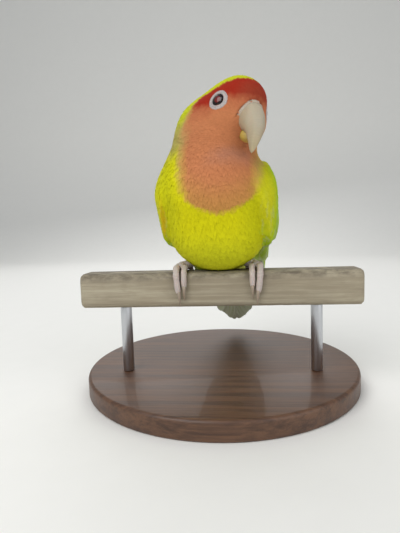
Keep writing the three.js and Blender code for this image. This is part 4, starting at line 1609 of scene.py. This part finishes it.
@dataclass
class Wing:
    """One folded wing: a pad over the shoulder, and its feathers in tiers."""

    body: Body
    side: Side
    clear: float = 0.75
    thick: float = 0.3
    thinned: float = 0.7
    sink: float = -0.9
    edge_scale: float = 0.36
    lower_tuck: Pair = (-1, 5)
    upper_tuck: Pair = (-2.5, 2.5)
    free_from: Pair = (46, 62)
    pad_ends: Pair = (1, 41)
    pad_rows: int = 40
    pad_columns: int = 22
    pad_margin: float = 0.03
    pad_drop: float = 0.7
    pad_least: float = 0.2
    pad_thick: Profile = profile((1, 0.5), (5, 1.3), (16, 2.3), (30, 2.0), (41, 0.9))
    rows: int = 20
    columns: int = 13
    tip_spread: float = 1.3
    width_spread: Pair = (0.94, 1.06)
    lean_spread: float = 0.8
    ripple: float = 0.035
    camber: float = 0.22
    shaft: float = 0.09
    outline: Profile = profile(
        (0, 0.42), (0.2, 0.8), (0.45, 1), (0.72, 0.98), (0.86, 0.84), (0.94, 0.6), (0.985, 0.3), (1, 0.1)
    )

    def at(self, along: Array, around: Array, above: Array) -> Array:
        """Places over the carrier from mm, degrees and mm."""
        return self.body.over_carrier(self.side, along * MM, around, above * MM)

    def seat(self, along: Array, around: Array, above: Array) -> Array:
        """A height over the carrier fitted to the wing's fullness, and sunk into the body at its edges.

        Args:
            along: mm down the back's line.
            around: degrees from the middle of the back.
            above: mm over the carrier.

        Returns:
            The fitted heights in mm.
        """
        upper, lower = WING_UPPER_EDGE(along), WING_LOWER_EDGE(along)
        across = np.clip(2 * (around - upper) / (lower - upper) - 1, -1, 1)
        full = (1 - 0.5 * across**4) * WING_FULLNESS[self.side]
        from_lower, from_upper = ((gap * self.edge_scale) for gap in (lower - around, around - upper))
        edge = smooth(from_lower, *self.lower_tuck) * smooth(from_upper, *self.upper_tuck)
        tucked = 1 - (1 - edge) * (1 - smooth(along, *self.free_from))
        return self.sink + (above * full - self.sink) * tucked

    def pad(self, material: Material) -> None:
        """Makes the closed pad under the feathers.

        Args:
            material: its finish.
        """
        margins = np.linspace(self.pad_margin, 1 - self.pad_margin, self.pad_columns)
        along, across = crossed(np.linspace(*self.pad_ends, self.pad_rows), margins)
        around = WING_UPPER_EDGE(along) * (1 - across) + WING_LOWER_EDGE(along) * across
        above = self.seat(along, around, self.clear + self.pad_thick(along)) - self.pad_drop
        top = self.at(along, around, above)
        bottom = self.at(along, around, np.minimum(self.clear, above - self.pad_least))
        piece = closed_plate(f"wing_pad_{self.side.label}", top, bottom, material)
        finish_piece(piece, "plumage_wing", f"wing_{self.side.label}")

    def vane(self, tier: Tier, share: float, rng: np.random.Generator) -> tuple[Array, Array, Array, Array]:
        """One vane's upper and lower face, and how far along and across its places lie.

        Args:
            tier: the tier it belongs to.
            share: 0 for the tier's first vane to 1 for its last.
            rng: seeded random numbers.

        Returns:
            The upper places, the lower places, along and across.
        """
        way, across = vane_grid(self.rows, self.columns)
        droop = WING_DROOP[self.side] * share**2
        tip = between(tier.tip_along, share) + rng.uniform(-self.tip_spread, self.tip_spread)
        width = between(tier.width, share) * rng.uniform(*self.width_spread)
        root = between(tier.root_along, share)
        place = root + (tip - root) * way + 0.7 * droop * way
        place = place - 0.035 * (tip - root) * across**2 * smooth(way, 0.55, 1)
        ends = (between(tier.root_around, share), between(tier.tip_around, share))
        middle = between(ends, way) + rng.uniform(-self.lean_spread, self.lean_spread) * way
        shaft_line = place[:, self.columns // 2]
        line = self.at(shaft_line, middle[:, 0], np.zeros(self.rows))
        reach = norm(line - self.body.on_back_line(shaft_line * MM))[:, None] / MM
        around = middle + np.degrees(across * (width * self.outline(way) / 2) / reach)
        lift = between((between(tier.root_lift, share), between(tier.tip_lift, share)), np.sqrt(way))
        above = self.seat(place, around, lift) + tier.rise * (across + 1) / 2 + 0.1 * droop * way
        camber = self.camber * (1 - across**2) * np.sin(np.pi * np.clip(way, 0, 1)) ** 0.5
        ripple = rng.normal(0, self.ripple, (1, self.columns)) * way * (np.abs(across) > 0.4)
        thick = self.thick * (1 - self.thinned * way)
        upper = self.at(place, around, above + camber + ripple + thick + shaft_ridge(way, across, self.shaft))
        lower = self.at(place, around, above + camber + ripple)
        return upper, lower, way, across

    def build(self) -> None:
        """Makes the pad and one piece for each tier."""
        rng = np.random.default_rng(WING_SEED[self.side])
        finish = FlightFinish("plumage_flight").material()
        self.pad(FlightFinish("plumage_wing_pad").material())
        for tier in WING_TIERS:
            gather = Gatherer(f"{tier.name}_{self.side.label}")
            for index in range(tier.count):
                share = index / (tier.count - 1)
                gather.add(*self.vane(tier, share, rng), rng.random(), tier.pale)
            finish_piece(gather.piece(finish), "plumage_wing")


def closed_plate(name: str, upper: Array, lower: Array, material: Material) -> Piece:
    """A plate closed round its two faces.

    Args:
        name: its name.
        upper: a grid of the places of its upper face, in the bird's frame.
        lower: a like grid of its lower face.
        material: its finish.

    Returns:
        The piece.
    """
    loops = np.concatenate([upper, lower[:, ::-1]], 1)
    piece = lofted(name, loops, material)
    add_attribute(piece, "place", loops.reshape(-1, 3) / MM)
    add_traits(piece, loops.shape[:2], along=0, across=0, pale=0, shade=0.4)
    return piece


class Gatherer:
    """Joins many vanes into one piece, each with its own patch of the map."""

    def __init__(self, name: str) -> None:
        """Starts with no vanes.

        Args:
            name: the name of the piece that they make.
        """
        self.name = name
        self.loops: list[Array] = []
        self.traits: list[Array] = []
        self.faces: list[Array] = []
        self.count = 0

    def add(self, upper: Array, lower: Array, along: Array, across: Array, shade: float, pale: float) -> None:
        """Adds a closed vane.

        Args:
            upper: the places of its upper face, in the bird's frame.
            lower: the places of its lower face.
            along: how far from its root each lies, 0 to 1.
            across: how far from its shaft each lies, -1 to 1.
            shade: its own lightness, 0 to 1.
            pale: how pale its edges are, 0 to 1.
        """
        loops = np.concatenate([upper, lower[:, ::-1]], 1)
        rows, sides = loops.shape[:2]
        number = len(self.loops)
        far, aside = (np.concatenate([part, part[:, ::-1]], 1) for part in (along, across))
        below = np.concatenate([np.zeros(across.shape), np.ones(across.shape)], 1)
        self.faces.append(grid_faces(rows, sides, True) + self.count)
        same = np.ones(far.shape)
        traits = [far, aside, same * shade, same * pale, below, same * number]
        self.traits.append(np.stack(traits, -1).reshape(-1, len(traits)))
        self.loops.append(loops.reshape(-1, 3))
        self.count += rows * sides

    def piece(self, material: Material) -> Piece:
        """Joins the vanes.

        Args:
            material: their finish.

        Returns:
            One piece.
        """
        places = np.concatenate(self.loops)
        traits = np.concatenate(self.traits)
        piece = new_mesh(self.name, to_world(places), np.concatenate(self.faces), material)
        add_attribute(piece, "place", places / MM)
        for index, label in enumerate(("along", "across", "shade", "pale")):
            add_attribute(piece, label, traits[:, index])
        strip = 1 / (2 * len(self.loops))
        column = (2 * traits[:, 5] + traits[:, 4] + 0.5 + traits[:, 1] * 0.42) * strip
        add_map(piece, np.stack([column, 0.02 + 0.96 * traits[:, 0]], -1))
        return piece


@dataclass
class Tail:
    """Twelve tail feathers, the middle pair on top, and the coverts over and under their roots."""

    body: Body
    root: float = 60
    tip: float = 110
    half_width: float = 11.4
    pairs: int = 6
    step: float = 0.3
    thick: float = 0.26
    shaft: float = 0.1
    rows: int = 22
    columns: int = 13
    seed: int = 2749
    shortening: float = 11
    covert_rows: tuple[Triple, ...] = ((59, 0, 5), (54, 8, 6), (49, 16, 7))
    outline: Profile = profile(
        (0, 0.5), (0.3, 0.9), (0.6, 1), (0.82, 0.94), (0.93, 0.68), (0.98, 0.38), (1, 0.12)
    )

    def vane(self, ends: Pair, aside: Pair, width: float, lift: Pair, arch: float = 0.0) -> tuple[Array, ...]:
        """One straight vane's upper and lower face, along and across.

        Args:
            ends: where it starts and ends along the back's line, in mm.
            aside: how far left of the line its root and tip lie.
            width: how wide it is.
            lift: how far above the line its root and tip lie.
            arch: how far its sides hang.

        Returns:
            The upper places, the lower places, along and across.
        """
        way, across = vane_grid(self.rows, self.columns)
        left = between(aside, way) + across * (width * self.outline(way) / 2)
        above = between(lift, way) + 0.2 * (1 - across**2) + arch * across**2
        base = self.body.on_back_line(between(ends, way) * MM) + LEFTWARD * left[..., None] * MM
        lower = base + DORSAL * above[..., None] * MM
        thick = self.thick * (1 - 0.7 * way) + shaft_ridge(way, across, self.shaft)
        return lower + DORSAL * (thick * MM)[..., None], lower, way, across

    def build(self) -> None:
        """Makes the tail feathers and both sets of coverts."""
        rng = np.random.default_rng(self.seed)
        # Painted light: the tail is given lighter colours than the wing feathers, to make up for the perch's
        # shadow over it
        finish = FlightFinish(
            "plumage_tail", srgb(206, 220, 160), srgb(220, 228, 202), srgb(222, 228, 206), srgb(214, 220, 184)
        ).material()
        tail = Gatherer("tail_feathers")
        for pair in range(self.pairs):
            for side in (Side.RIGHT, Side.LEFT):
                share = pair / (self.pairs - 1)
                lift = self.step * (self.pairs - 1 - pair) + (0.12 if side is Side.LEFT else 0)
                spread = (0.8 + 3.4 * share, 1.4 + (self.half_width - 4.6) * share**1.4)
                aside = (side.value * spread[0], side.value * spread[1])
                ends = (self.root, self.tip - self.shortening * share**1.6 + rng.uniform(-1.2, 0.4))
                tail.add(*self.vane(ends, aside, 6.4, (lift - 0.4, lift)), rng.random(), 0.9)
        finish_piece(tail.piece(finish), "plumage_tail", "tail")
        for name, tips, lift, arch in (("upper", 84, (2.5, 2.6), -0.5), ("lower", 88, (-3.5, -1.9), 0.4)):
            coverts = Gatherer(f"tail_coverts_{name}")
            for row, (start, back, count) in enumerate(self.covert_rows):
                for index in range(count):
                    aside = 2 * index / (count - 1) - 1
                    ends = (start, tips - back - 5 * aside * aside + rng.uniform(-0.7, 0.7))
                    drop = arch * 2.2 * aside**2
                    raise_by = 0.42 * (row + 1) * (1 if name == "upper" else -1)
                    heights = (lift[0] + drop + raise_by, lift[1] + drop + raise_by)
                    wide = 4.2 + 0.6 * row
                    sides = (aside * wide * 0.8, aside * wide)
                    coverts.add(*self.vane(ends, sides, 6.2, heights, arch), rng.random(), 0.5)
            finish_piece(coverts.piece(finish), "plumage_tail")


@dataclass
class Bill:
    """The hooked bill, with the bare band of the cere over its root."""

    body: Body
    rows: int = 44
    sides: int = 40
    culmen: Line = ((10.6, 2.2), (14.2, 1.4), (17.6, -1.8), (19.3, -6.8), (19, -12.2), (17.5, -17))
    cutting_edge: Line = ((6, -8), (10, -8.8), (13, -9.6), (15, -10.6), (16.1, -13.2), (17, -16.8))
    half_width: Profile = profile((0, 5), (0.25, 4.9), (0.5, 4.3), (0.75, 2.7), (0.92, 1.3), (1, 0.5))
    lower_top: Line = ((6, -6.6), (11, -7), (13.8, -8.2), (15.6, -10))
    lower_bottom: Line = ((6, -11), (10, -12.6), (13.2, -13), (15.6, -11.8))
    lower_width: Profile = profile((0, 2.8), (0.4, 2.8), (0.75, 2.5), (1, 1.5))
    ridge: float = 0.22
    cere_rows: int = 72
    cere_sides: int = 28
    cere_middle: Triple = (8, 0, -4)
    nostril: Triple = (13.9, 2, 1.6)

    def shell(self, top: Line, bottom: Line, width: Profile, ridge: float) -> tuple[Array, Array, Array]:
        """A round body between two lines of the head's own middle plane.

        Args:
            top: its upper line, forward and up in mm.
            bottom: its lower line.
            width: half its width from root to tip.
            ridge: how much narrower it is towards its upper line.

        Returns:
            Its places in rows, along and across.
        """
        way = np.linspace(0, 1, self.rows)
        upper, lower = curve_through(top, way)[:, None], curve_through(bottom, way)[:, None]
        middle = (upper + lower) / 2
        end = blunt(way, 24)[:, None]
        angle = turns(self.sides)[None]
        rise, out = np.cos(angle), np.sin(angle)
        lift = np.sign(rise) * np.abs(rise) ** (0.85 if ridge else 1.0)
        parts = middle + (upper - middle) * (end * lift)[..., None]
        narrow = np.where(rise > 0, 1 - ridge * rise, 1)
        reach = width(way)[:, None] * end * np.sign(out) * np.abs(out) ** (0.8 if ridge else 1.0) * narrow
        return in_head(parts[..., 0] * MM, reach * MM, parts[..., 1] * MM), way[:, None], out

    def horn(self, name: str, shell: tuple[Array, Array, Array], stained: float) -> None:
        """Makes one half of the bill.

        Args:
            name: its name.
            shell: its places in rows, along and across.
            stained: how yellow it is, 0 to 1.
        """
        places, along, across = shell
        piece = lofted(name, places, HornFinish().material(f"horn_{name}", stained))
        add_traits(piece, places.shape[:2], along=along, across=across)
        finish_piece(piece, "bill_horn", name)

    def cere(self) -> None:
        """Makes the narrow band of bare skin over the bill's root, with two nostrils sunk into it."""
        other = [(forward, -left, up) for forward, left, up in CERE_LINE[-2::-1]]
        line = curve_through(np.array([*CERE_LINE, *other]), np.linspace(0, 1, self.cere_rows))
        ahead = unit(np.gradient(line, axis=0))
        out = square_to(unit(line - np.array(self.cere_middle)), ahead)
        beside = np.cross(ahead, out)
        close = blunt(np.linspace(0, 1, self.cere_rows), 8)[:, None, None]
        ring = circle(out[:, None] * 0.6, beside[:, None] * 0.85, turns(self.cere_sides)[None])
        places = line[:, None] + ring * close
        pit = np.zeros(places.shape[:2])
        forward, left, up = self.nostril
        for side in Side:
            near = norm(places - np.array([forward, side.value * left, up]))
            pit = pit + np.exp(-((near / 0.55) ** 2)) * 0.8 - np.exp(-(((near - 0.95) / 0.3) ** 2)) * 0.1
        places = (places - out[:, None] * pit[..., None]) * MM
        finish = BareSkinFinish("cere_skin", srgb(184, 172, 156), srgb(168, 152, 134), 2400, 0.00008)
        piece = lofted("cere", in_head(*np.moveaxis(places, -1, 0)), finish.material())
        finish_piece(piece, "bare_skin")

    def build(self) -> None:
        """Makes both halves and the cere."""
        self.horn("bill_upper", self.shell(self.culmen, self.cutting_edge, self.half_width, self.ridge), 0.1)
        self.horn("bill_lower", self.shell(self.lower_top, self.lower_bottom, self.lower_width, 0.0), 0.8)
        self.cere()


@dataclass(frozen=True)
class Toe:
    """One toe: which way it goes over the perch, how far aside, how far round it and how thick."""

    name: str
    way: int
    aside: float
    reach: float
    radius: float
    splay: float


TOES = (
    Toe("outer_front", -1, 1.9, 18, 1.35, -1.1),
    Toe("inner_front", -1, -1.6, 15.5, 1.25, 0),
    Toe("outer_back", 1, 2.2, 13.5, 1.3, 1.6),
    Toe("inner_back", 1, -1.9, 8.5, 1.2, -1.2),
)


@dataclass
class Foot:
    """One leg with its foot: two toes over the front of the perch and two over its back, each with a claw."""

    side: Side
    claw_length: float = 4.6
    start: float = 2.2
    rows: int = 96
    claw_rows: int = 32
    shank_rows: int = 40
    tube_sides: int = 20
    joints: Profile = profile(
        (0, 1.05), (0.125, 1), (0.25, 1.05), (0.375, 0.92), (0.5, 1.02), (0.625, 0.9), (0.75, 0.98),
        (0.9, 0.86), (1, 0.7),
    )
    claw: Profile = profile((0, 0.85), (0.25, 0.78), (0.5, 0.62), (0.75, 0.42), (0.95, 0.16), (1, 0.02))
    shank: Profile = profile((0, 1.9), (0.33, 1.75), (0.66, 2.0), (1, 2.4))
    sole: Profile = profile((0, 1.3), (0.5, 2.05), (1, 1.3))
    shank_line: tuple[Triple, ...] = ((0, 0, 2.4), (5, 2, 3.4), (10, 5, 4.6), (12, 6, 8))
    sole_line: tuple[Triple, ...] = ((0, -3.6, 1.7), (0, 0, 2.2), (0, 3.6, 1.7))

    def over_edge(self, way: int, reach: Array, off: Array) -> tuple[Array, Array]:
        """Places round the perch's edge, in mm.

        Args:
            way: 1 over its back, -1 over its front.
            reach: how far along its skin they lie.
            off: how far off its skin they lie.

        Returns:
            How far back and how far up they are.
        """
        flat = (PERCH_SIDE / 2 - PERCH_ROUND) / MM
        bend = PERCH_ROUND / MM
        arc = (bend + off) * math.pi / 2
        angle = np.clip((reach - flat) / (bend + off), 0, math.pi / 2)
        beyond = np.maximum(reach - flat - arc, 0)
        back = np.minimum(reach, flat) + (bend + off) * np.sin(angle)
        up = (bend + off) * np.cos(angle) - bend - beyond
        return way * back, up

    def line(self, toe: Toe, reach: Array, share: Array, off: Array) -> Array:
        """Places along a toe.

        Args:
            toe: the toe.
            reach: how far along the perch's skin they lie, in mm.
            share: how far along the toe they lie, 0 to 1.
            off: how far off the perch's skin they lie, in mm.

        Returns:
            The places in the bird's frame.
        """
        back, up = self.over_edge(toe.way, reach, off)
        left = self.side.value * (FOOT_SPREAD / MM + toe.aside + toe.splay * share * share)
        return from_perch(np.stack([left, back, up], -1) * MM)

    def tube(self, name: str, line: Array, radii: Array, out: Array, finish: Material) -> Piece:
        """A tube along a line.

        Args:
            name: the piece's name.
            line: its middle, from root to tip.
            radii: its radius at each place.
            out: the way its upper side faces at each place.
            finish: its material.

        Returns:
            The piece, with along and across for its finish.
        """
        ahead = unit(np.gradient(line, axis=0))
        out = square_to(out, ahead)
        turn = turns(self.tube_sides)[None]
        ring = circle(out[:, None], np.cross(ahead, out)[:, None], turn)
        piece = lofted(name, line[:, None] + ring * radii[:, None, None], finish)
        add_traits(piece, ring.shape[:2], along=np.linspace(0, 1, len(line))[:, None], across=np.cos(turn))
        return piece

    def toe(self, toe: Toe, flesh: Material, horn: Material) -> None:
        """Makes a toe with its scutes and pads, and its claw.

        Args:
            toe: the toe.
            flesh: its skin's material.
            horn: its claw's material.
        """
        name = f"{toe.name}_{self.side.label}"
        height = toe.radius + GAP / MM
        share = np.linspace(0, 1, self.rows)
        reach = self.start + (toe.reach - self.start) * share
        off = height + 0.25 * (1 - smooth(share, 0.1, 0.3))
        line, inner = (self.line(toe, reach, share, level) for level in (off, off * 0))
        scutes = 1 + 0.035 * np.abs(np.sin(share * math.pi * 15))
        radii = toe.radius * self.joints(share) * scutes * blunt(share, 14) * MM
        piece = self.tube(f"toe_skin_{name}", line, radii, line - inner, flesh)
        finish_piece(piece, "bare_skin", f"toe_{name}")
        along = np.linspace(0, 1, self.claw_rows)
        off = height + 0.7 * np.sin(math.pi * along) - 0.7 * along**2
        reach = toe.reach - 1.2 + (self.claw_length + 0.8) * along
        line, inner = (self.line(toe, reach, 1 + 0.25 * along, level) for level in (off, off * 0))
        claw = self.tube(f"claw_horn_{name}", line, self.claw(along) * MM, line - inner, horn)
        finish_piece(claw, "claw_horn", f"claw_{name}")

    def stub(self, name: str, bend: Sequence[Triple], radii: Array, flesh: Material) -> Piece:
        """A short tube between the foot and the body.

        Args:
            name: the piece's name.
            bend: how far inward of the foot, back and up its line passes, in mm.
            radii: its radius along the line, in mm.
            flesh: its material.

        Returns:
            The piece.
        """
        inward = np.array(bend) * (-self.side.value, 1, 1) + (FOOT_SPREAD / MM * self.side.value, 0, 0)
        line = from_perch(curve_through(inward * MM, np.linspace(0, 1, self.shank_rows)))
        out = np.broadcast_to(from_perch(np.array([0, -0.4, 1.0])), line.shape)
        return self.tube(name, line, radii * MM, out, flesh)

    def build(self) -> None:
        """Makes the foot's pad, the shank and the four toes."""
        name = self.side.label
        scales = (srgb(206, 192, 184), srgb(158, 140, 132), 1500, 0.00018, 34)
        flesh = BareSkinFinish(f"foot_skin_{name}", *scales).material()
        claws = HornFinish(srgb(158, 142, 132), srgb(112, 98, 90), srgb(186, 168, 158))
        horn = claws.material(f"claw_{name}", 0.0)
        along = np.linspace(0, 1, self.shank_rows)
        shank = self.stub(f"shank_{name}", self.shank_line, self.shank(along) * blunt(along, 20), flesh)
        finish_piece(shank, "bare_skin", f"leg_{name}")
        sole = self.stub(f"sole_{name}", self.sole_line, self.sole(along) * blunt(along, 8), flesh)
        finish_piece(sole, "bare_skin")
        for toe in TOES:
            self.toe(toe, flesh, horn)


@dataclass
class Perch:
    """The cut length of square bar: long edges rounded, ends sawn straight, its skin a little uneven."""

    rows: int = 121
    sides: int = 64
    seed: int = 31
    end_inset: float = 0.0007
    end_reach: float = 0.0009
    unevenness: float = 0.00003

    def build(self) -> None:
        """Makes the bar."""
        rng = np.random.default_rng(self.seed)
        turn = turns(self.sides)
        flat = PERCH_SIDE / 2 - PERCH_ROUND
        way = np.stack([np.cos(turn), np.sin(turn)], -1)
        square = way / np.maximum(np.abs(way).max(-1, keepdims=True), 1e-9) * PERCH_SIDE / 2
        core = np.clip(square, -flat, flat)
        ring = core + unit(square - core + 1e-9 * way) * PERCH_ROUND
        on_flat = (np.abs(square) < flat).any(-1, keepdims=True)
        ring = np.where(on_flat, square, ring)
        x = np.linspace(-1, 1, self.rows) * PERCH_LENGTH / 2
        inset = self.end_inset * np.clip(1 - (PERCH_LENGTH / 2 - np.abs(x)) / self.end_reach, 0, 1)
        dents = rng.normal(0, self.unevenness, (self.rows // 6 + 2, self.sides))
        fine, coarse = (np.linspace(0, 1, count) for count in (self.rows, len(dents)))
        uneven = np.stack([np.interp(fine, coarse, column) for column in dents.T], -1)
        size = 1 - (inset[:, None] + np.abs(uneven)) / (PERCH_SIDE / 2)
        places = np.zeros((self.rows, self.sides, 3))
        places[..., 0] = x[:, None]
        places[..., 1:] = ring[None] * size[..., None]
        for end in (0, -1):
            cap = places[end].copy()
            rings = [cap * [1, scale, scale] for scale in (0.98, 0.5, 0.02)]
            parts = [np.stack(rings[::-1]), places] if end == 0 else [places, np.stack(rings)]
            places = np.concatenate(parts)
        places = places + np.array([0, PERCH_Y, PERCH_TOP - PERCH_SIDE / 2])
        colours = (srgb(172, 163, 141), srgb(142, 131, 110), srgb(84, 74, 62))
        finish = WoodFinish("perch_wood", *colours, PERCH_TOP, 0.8)
        faces = grid_faces(len(places), self.sides, True)
        bar = new_mesh("perch_bar", places.reshape(-1, 3), faces, finish.material())
        finish_piece(bar, "perch_wood", "perch")


@dataclass
class Stand:
    """The display stand: a turned base and two rods up to the perch."""

    sides: int = 144
    rod_sides: int = 48
    base_edges: Pair = (0.0015, 0.0007)
    rod_edges: Pair = (0.0004, 0.0002)

    @staticmethod
    def turned(
        name: str, centre: Pair, section: Sequence[Pair], material: Material, sides: int
    ) -> Piece:
        """A piece turned round an upright axis.

        Args:
            name: its name.
            centre: the axis's place.
            section: radius and height, from its foot's middle to its top's.
            material: its finish.
            sides: how many faces go round it.

        Returns:
            The piece.
        """
        turn = turns(sides)[None]
        radius, height = (np.array(values)[:, None] for values in zip(*section))
        places = np.stack(
            [centre[0] + radius * np.cos(turn), centre[1] + radius * np.sin(turn), height + 0 * turn], -1
        )
        return new_mesh(name, places.reshape(-1, 3), grid_faces(len(section), sides, True), material)

    @staticmethod
    def rounded(radius: float, foot: float, top: float, edge: float, chamfer: float) -> list[Pair]:
        """A section with its foot's edge taken off and its top edge rounded.

        Args:
            radius: its full radius.
            foot: the height of its foot.
            top: the height of its top.
            edge: the radius of its top edge.
            chamfer: what is taken off its foot's edge.

        Returns:
            Pairs of radius and height.
        """
        line = [(1e-5, foot), (radius * 0.6, foot), (radius - chamfer, foot), (radius, foot + chamfer)]
        for index in range(9):
            angle = math.pi / 2 * index / 8
            line.append((radius - edge * (1 - math.cos(angle)), top - edge * (1 - math.sin(angle))))
        return [*line, (radius * 0.8, top), (radius * 0.4, top), (1e-5, top)]

    def build(self) -> None:
        """Makes the base and the rods."""
        colours = (srgb(104, 72, 50), srgb(66, 42, 28), srgb(40, 26, 18))
        finish = WoodFinish("stand_walnut", *colours, None, 0.5, 0.1)
        section = self.rounded(BASE_RADIUS, 0, BASE_THICK, *self.base_edges)
        base = self.turned("display_base", (0, 0), section, finish.material(), self.sides)
        finish_piece(base, "base_wood", "stand_base")
        steel = SteelFinish().material()
        for side in Side:
            foot, top = BASE_THICK + GAP, PERCH_TOP - PERCH_SIDE - GAP
            section = self.rounded(ROD_RADIUS, foot, top, *self.rod_edges)
            centre = (side.value * ROD_X, PERCH_Y)
            rod = self.turned(f"display_rod_{side.label}", centre, section, steel, self.rod_sides)
            finish_piece(rod, "rod_steel", f"stand_rod_{side.label}")


@dataclass
class Studio:
    """A plain pale floor, soft lights, and a camera where the photograph was taken from."""

    camera_place: Triple = (0.00805, -0.194, 0.0726)
    yaw: float = math.radians(5.1)
    pitch: float = math.radians(5.6)
    roll: float = math.radians(-1.8)
    focal_pixels: float = 416
    clip_start: float = 0.01
    sensor: float = 36
    bird_place: Triple = (0, -0.01, 0.09)
    sky: Colour = srgb(232, 236, 240)
    sky_strength: float = 0.42
    lights: tuple[tuple[str, Triple, float, float], ...] = (
        ("key", (-0.35, -0.55, 0.6), 0.6, 4.6),
        ("fill", (0.6, -0.45, 0.3), 0.7, 2.2),
        ("back", (-0.1, 0.6, 0.6), 0.7, 2.8),
    )
    floor_half: float = 2.2
    floor_front: float = -1.6
    floor_back: float = 0.7
    sweep_radius: float = 0.35
    wall_top: float = 1.9
    frame: Pair = (400, 533)

    def camera(self) -> None:
        """Makes the camera."""
        level = math.cos(self.pitch)
        ahead = Vector((-math.sin(self.yaw) * level, math.cos(self.yaw) * level, -math.sin(self.pitch)))
        right = ahead.cross(Vector((0, 0, 1))).normalized()
        up = right.cross(ahead)
        right, up = (
            right * math.cos(self.roll) + up * math.sin(self.roll),
            up * math.cos(self.roll) - right * math.sin(self.roll),
        )
        data = bpy.data.cameras.new("camera")
        data.sensor_width = self.sensor
        data.lens = self.sensor * self.focal_pixels / max(self.frame)
        data.clip_start = self.clip_start
        camera = bpy.data.objects.new("camera", data)
        turn = Matrix((right, up, -ahead)).transposed().to_4x4()
        camera.matrix_world = Matrix.Translation(self.camera_place) @ turn
        bpy.context.scene.collection.objects.link(camera)
        bpy.context.scene.camera = camera

    def light(self, name: str, place: Sequence[float], size: float, watts: float) -> None:
        """Makes a soft square light that looks at the bird.

        Args:
            name: its name.
            place: where it stands.
            size: its side.
            watts: its power.
        """
        data = bpy.data.lights.new(name, "AREA")
        data.size = size
        data.energy = watts
        light = bpy.data.objects.new(name, data)
        light.location = place
        look = Vector(self.bird_place) - light.location
        light.rotation_euler = look.to_track_quat("-Z", "Y").to_euler()
        bpy.context.scene.collection.objects.link(light)

    def floor(self) -> None:
        """Makes the floor, which sweeps up far behind the object."""
        sweep = np.linspace(0.05, math.pi / 2, 16)
        level = np.linspace(self.floor_front, self.floor_back, 24)
        depth = np.concatenate([level, self.floor_back + self.sweep_radius * np.sin(sweep)])
        height = np.concatenate([0 * level, self.sweep_radius * (1 - np.cos(sweep))])
        depth, height = np.append(depth, depth[-1]), np.append(height, self.wall_top)
        wide = np.linspace(-self.floor_half, self.floor_half, 23)
        places = np.zeros((len(depth), len(wide), 3))
        places[..., 0], places[..., 1], places[..., 2] = wide[None], depth[:, None], height[:, None]
        faces = grid_faces(len(depth), len(wide))
        floor = new_mesh("studio_floor", places.reshape(-1, 3), faces, FloorFinish().material(), False)

    def build(self) -> None:
        """Makes the camera, the floor and the lights."""
        self.camera()
        self.floor()
        world = bpy.data.worlds.new("studio")
        world.use_nodes = True
        background = world.node_tree.nodes["Background"]
        background.inputs["Color"].default_value = (*self.sky, 1)
        background.inputs["Strength"].default_value = self.sky_strength
        bpy.context.scene.world = world
        bpy.context.scene.view_settings.view_transform = "Standard"
        for lamp in self.lights:
            self.light(*lamp)


def main() -> None:
    """Builds every piece in order."""
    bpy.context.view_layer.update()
    Studio().build()
    Stand().build()
    Perch().build()
    body = Body()
    Skin(body).build()
    Coat(body).build()
    Tail(body).build()
    Bill(body).build()
    for side in Side:
        Eye(body, side).build()
        Wing(body, side).build()
        Foot(side).build()


if __name__ == "__main__":
    logging.basicConfig(level=logging.INFO, format="%(message)s")
    main()
